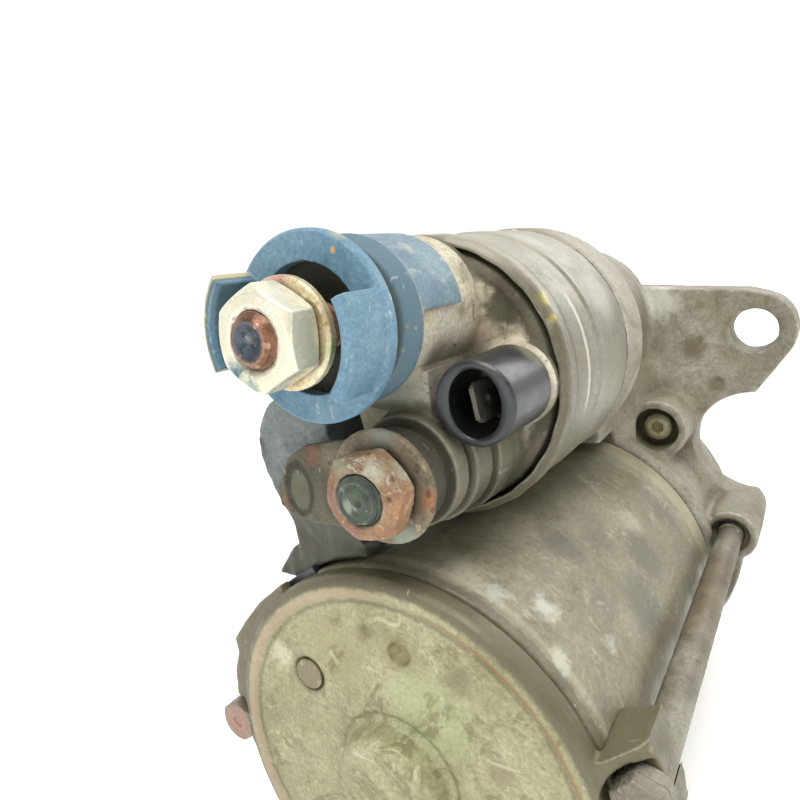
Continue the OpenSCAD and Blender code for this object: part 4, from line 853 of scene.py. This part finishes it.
def wavy(X, R, T):
    P = np.stack([X, R * np.cos(T), R * np.sin(T)], -1)
    d = 0.07 * (fbm(P, 9.0, 31) - 1.0)
    rim = np.clip((X[0, 0] * 0 + (-93.0) - X) / 1.5, 0, 1) * (R > 24.9)
    return X, R + np.where(R > 25.3, d, 0) - 0.16 * rim * (0.5 + 0.5 * np.sin(24 * T + 0.8 * np.sin(3 * T)))


V, F = lathe([(-97.2, 24.75), (-97.2, 25.4), (-96.6, 26.3), (-95.3, 26.6), (-92.6, 26.5), (-91.6, 25.9), (-90, 26.05), (-79.5, 26.2), (-78.6, 26.6), (-60.7, 26.6),
              (-60.2, 25.97), (-49.2, 25.97), (-48.2, 25.2), (-48.2, 10.4), (-50.2, 10.4), (-50.2, 25.1), (-93.8, 25.1), (-95.2, 24.75)],
             cy, cz, 256, 0.9, closed=True, rfn=wavy, rnd=0.35)
make("solenoid_can", V, F, "solenoid_case", mat=M["case"], sharp=50)
remesh("solenoid_cap", "cap_moulding", 0.36, M["cap"], smooth=4, sharp=80, disp=lambda P, N: 0.10 * fbm(P, 4.0, 41) - 0.08)
lo, hi = B("coil_winding")
V, F = lathe([(x, 23.55 - 0.4 * abs(math.sin(math.pi * (x - lo[0]) / 1.2))) for x in np.arange(lo[0], hi[0], 0.15)] + [(hi[0], 23.2), (hi[0], 11.4), (lo[0], 11.4)],
             cy, cz, 96, 2.0, closed=True, rnd=0)
make("coil_winding_v", V, F, "coil_winding", mat=M["enamel"], sharp=70)


def spring_on(name, node, x0, x1, r, wire, turns, cy, cz, body=None):
    V, F = coil(x0, x1, r, wire, turns, cy, cz)
    ob = make(name, V, F, node, mat=M["spring"], sharp=80)
    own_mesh(ob)
    return ob


slo, shi = B("return_spring")
spring_on("return_spring_coil", "return_spring", slo[0], shi[0], 5.9, 1.1, 5.0, 0.0, cz)
slo, shi = B("contact_spring")
spring_on("contact_spring_coil", "contact_spring", slo[0], shi[0], 3.15, 0.6, 5.5, 0.0, cz)

# ------------------------------------------------------------------ motor
remesh("rear_cover", "rear_cover_v", 0.36, M["cover"], smooth=4, sharp=80, disp=lambda P, N: 0.08 * fbm(P, 7.0, 51) - 0.05)
lo, hi = B("through_bolts")
parts = []
HEAD_X = (lo[0], lo[0] + 5.0)
for (by, bz) in ((-40.6, 9.0), (41.6, -3.0)):
    rot = math.atan2(bz, by)
    th_n = 192
    V, F = hexnut(HEAD_X[0], HEAD_X[1], 8.0, by, bz, 1.2, rot=rot, rnd=0.3, rough=0.06, seed=61)
    parts.append((V, F))
    parts.append(lathe([(HEAD_X[0] + 0.45, 0.02), (HEAD_X[0] + 0.45, 2.3)], by, bz, 48, 0.6, rnd=0))
    sh = lathe([(HEAD_X[1] - 0.3, 0.02), (HEAD_X[1] - 0.3, 2.98), (hi[0] - 18, 2.98)], by, bz, 64, 1.5, rnd=0.1)
    sh = (push(sh[0], sh[1], lambda q: 0.05 * (fbm(q, 3.0, 62) - 1.0)), sh[1])
    parts.append(sh)
    tt = threaded(hi[0] - 18, hi[0], 2.98, by, bz, pitch=1.0, depth=0.45, chamfer=0.3)
    parts.append(tt)
V, F = join(parts)
make("through_bolts_v", V, F, "through_bolts", mat=M["rod"], sharp=60)

remesh("drive_housing", "housing_casting", 0.6, M["cast"], smooth=6, sharp=85,
       disp=lambda P, N: 0.16 * fbm(P, 11.0, 71) + 0.05 * vnoise(P, 1.6, 72) - 0.10)

# ends of the armature winding: wires that cross from slot to slot
lo, hi = B("armature_winding")


def strands(X, R, T):
    w = 0.55 * np.abs(np.sin(27 * T + 0.55 * (X - lo[0])))
    return X, R - np.where(R > 12, w, 0)


A1 = lathe([(-98.2, 6.1), (-98.2, 20), (-95, 24.6), (-90.1, 24.6), (-90.1, 6.1)], 0, 0, 540, 0.8, closed=True, rnd=1.2, rfn=strands)
A2 = lathe([(-49.9, 6.1), (-49.9, 24.6), (-44, 24), (-40, 18), (-40, 6.1)], 0, 0, 540, 0.8, closed=True, rnd=1.2, rfn=strands)
V, F = join([A1, A2])
make("armature_winding_v", V, F, "armature_winding", mat=M["enamel"], sharp=70)

# brush springs, one over each brush
for k, (ang, nm) in enumerate(((0, "a"), (90, "b"), (180, "c"), (270, "d"))):
    a = math.radians(ang)
    V, F = coil(24.25, 29.65, 2.3, 0.55, 5, 0, 0)
    V = np.array(V)
    d = np.array([0, -math.sin(a), math.cos(a)])
    t = np.array([0, math.cos(a), math.sin(a)])
    W = V[:, :1] * d + V[:, 1:2] * t + V[:, 2:3] * np.array([1.0, 0, 0]) + np.array([-105.5, 0, 0])
    ob = make("brush_spring_" + nm, W, F, None, body="frame_body", mat=M["spring"], sharp=80)
    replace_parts(ob, "brush_springs")
    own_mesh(ob)

# ------------------------------------------------------------------ all the other pieces, with their edges broken
DONE = {n for o in bpy.context.scene.objects if "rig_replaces" in o for n in o["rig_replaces"]}
BEV = {"yoke": 0.3, "signal_blade": 0.12, "housing_screw": 0.15, "pinion": 0.25, "lead_grommet": 0.4, "shift_lever": 0.4, "planet_gear_1": 0.12,
       "planet_gear_2": 0.12, "planet_gear_3": 0.12, "sun_gear": 0.12, "ring_gear": 0.1, "commutator": 0.05, "armature_core": 0.12}
for n, src in NODES.items():
    if n in DONE:
        continue
    me = src.data.copy()
    me.name = n + "_v"
    bm = bmesh.new()
    bm.from_mesh(me)
    bmesh.ops.remove_doubles(bm, verts=bm.verts, dist=1e-6)
    bmesh.ops.recalc_face_normals(bm, faces=bm.faces)
    bmesh.ops.dissolve_limit(bm, angle_limit=math.radians(0.5), verts=bm.verts, edges=bm.edges, use_dissolve_boundaries=False)
    bm.to_mesh(me)
    bm.free()
    me.shade_smooth()
    me.set_sharp_from_angle(angle=math.radians(32))
    me.materials.clear()
    me.materials.append(mat_of(n))
    ob = bpy.data.objects.new(n + "_v", me)
    bpy.context.scene.collection.objects.link(ob)
    bv = ob.modifiers.new("edge", "BEVEL")
    bv.width = BEV.get(n, 0.2) * MM
    bv.segments = 2
    bv.limit_method = "ANGLE"
    bv.angle_limit = math.radians(35)
    bv.use_clamp_overlap = True
    bv.harden_normals = False
    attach(ob, BODY[n])
    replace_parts(ob, n)

# ------------------------------------------------------------------ floor, light, camera
lo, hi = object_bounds()
zf = lo[2] - 0.0005
th = np.linspace(0, 2 * math.pi, 96, endpoint=False)
rr = [0.02, 0.3, 1.0, 3.0, 12.0]
P = np.stack([np.stack([-0.02 + r * np.cos(th), r * np.sin(th), np.full(96, zf)], -1) for r in rr], 1)
V, F = grid(P, True, False)
me = bpy.data.meshes.new("floor")
me.from_pydata(V.tolist() + [(-0.02, 0, zf)], [], F.tolist() + [[int((i + 1) % 96) * 5, int(i) * 5, len(V)] for i in range(96)])
me.update()
floor = bpy.data.objects.new("floor", me)
bpy.context.scene.collection.objects.link(floor)
g = G("floor_paper")
fl = g.noise(3, 3, 0.5)
fm = g.done(g.ramp(fl, [(0.3, "#f4f4f2"), (0.7, "#fbfbfa")]), g.mr(fl, 0.3, 0.7, 0.75, 0.85), spec=0.1)
g.b.inputs["Emission Color"].default_value = (1, 1, 1, 1)
g.put(g.b.inputs["Emission Strength"], g.mr(g.radial2(), 0.12, 0.9, 0.20, 0.80))
me.materials.append(fm)

sc = bpy.context.scene
sc.view_settings.view_transform = "Standard"
w = bpy.data.worlds.new("studio")
sc.world = w
w.use_nodes = True
t = w.node_tree
t.nodes.clear()
out = t.nodes.new("ShaderNodeOutputWorld")
bg = t.nodes.new("ShaderNodeBackground")
tc = t.nodes.new("ShaderNodeTexCoord")
dot = t.nodes.new("ShaderNodeVectorMath")
dot.operation = "DOT_PRODUCT"
dot.inputs[1].default_value = (0.80, 0.56, 0.10)
mr = t.nodes.new("ShaderNodeMapRange")
mr.interpolation_type = "SMOOTHSTEP"
mr.inputs["From Min"].default_value = 0.0
mr.inputs["From Max"].default_value = 0.55
mr.inputs["To Min"].default_value = 0.26
mr.inputs["To Max"].default_value = 1.05
t.links.new(tc.outputs["Generated"], dot.inputs[0])
t.links.new(dot.outputs["Value"], mr.inputs["Value"])
t.links.new(mr.outputs["Result"], bg.inputs["Strength"])
bg.inputs["Color"].default_value = (1.0, 1.0, 0.995, 1)
t.links.new(bg.outputs[0], out.inputs[0])


def area(name, loc, target, size, power, col=(1, 1, 1)):
    l = bpy.data.lights.new(name, "AREA")
    l.shape = "DISK"
    l.size = size
    l.energy = power
    l.color = col
    o = bpy.data.objects.new(name, l)
    bpy.context.scene.collection.objects.link(o)
    o.location = loc
    o.rotation_mode = "QUATERNION"
    o.rotation_quaternion = (Vector(target) - Vector(loc)).to_track_quat("-Z", "Y")
    return o


area("key", (-0.42, -0.10, 0.75), (-0.08, 0, 0.04), 0.45, 4.6, (1.0, 0.99, 0.97))
area("top", (0.05, -0.30, 0.80), (-0.05, 0, 0.03), 0.7, 3.0)
area("side", (-0.12, -0.72, 0.42), (-0.08, 0, 0.04), 0.5, 0.7)
area("fill", (-0.75, 0.10, 0.20), (-0.10, 0, 0.05), 0.5, 0.9, (0.98, 0.98, 1.0))
area("kicker", (0.60, -0.20, 0.40), (-0.10, -0.01, 0.06), 0.42, 1.3)

cam = bpy.data.cameras.new("camera")
co = bpy.data.objects.new("camera", cam)
sc.collection.objects.link(co)
right = Vector((0.53960639, -0.83321782, -0.1207187))
up = Vector((0.22714667, 0.00601146, 0.97384201))
fwd = Vector((0.81069682, 0.55291222, -0.19250647))
co.matrix_world = Matrix(((right.x, up.x, -fwd.x, -0.19867), (right.y, up.y, -fwd.y, -0.06210), (right.z, up.z, -fwd.z, 0.08524), (0, 0, 0, 1)))
cam.sensor_width = 36
cam.lens = 29.25
cam.clip_start = 0.005
cam.clip_end = 50
sc.camera = co
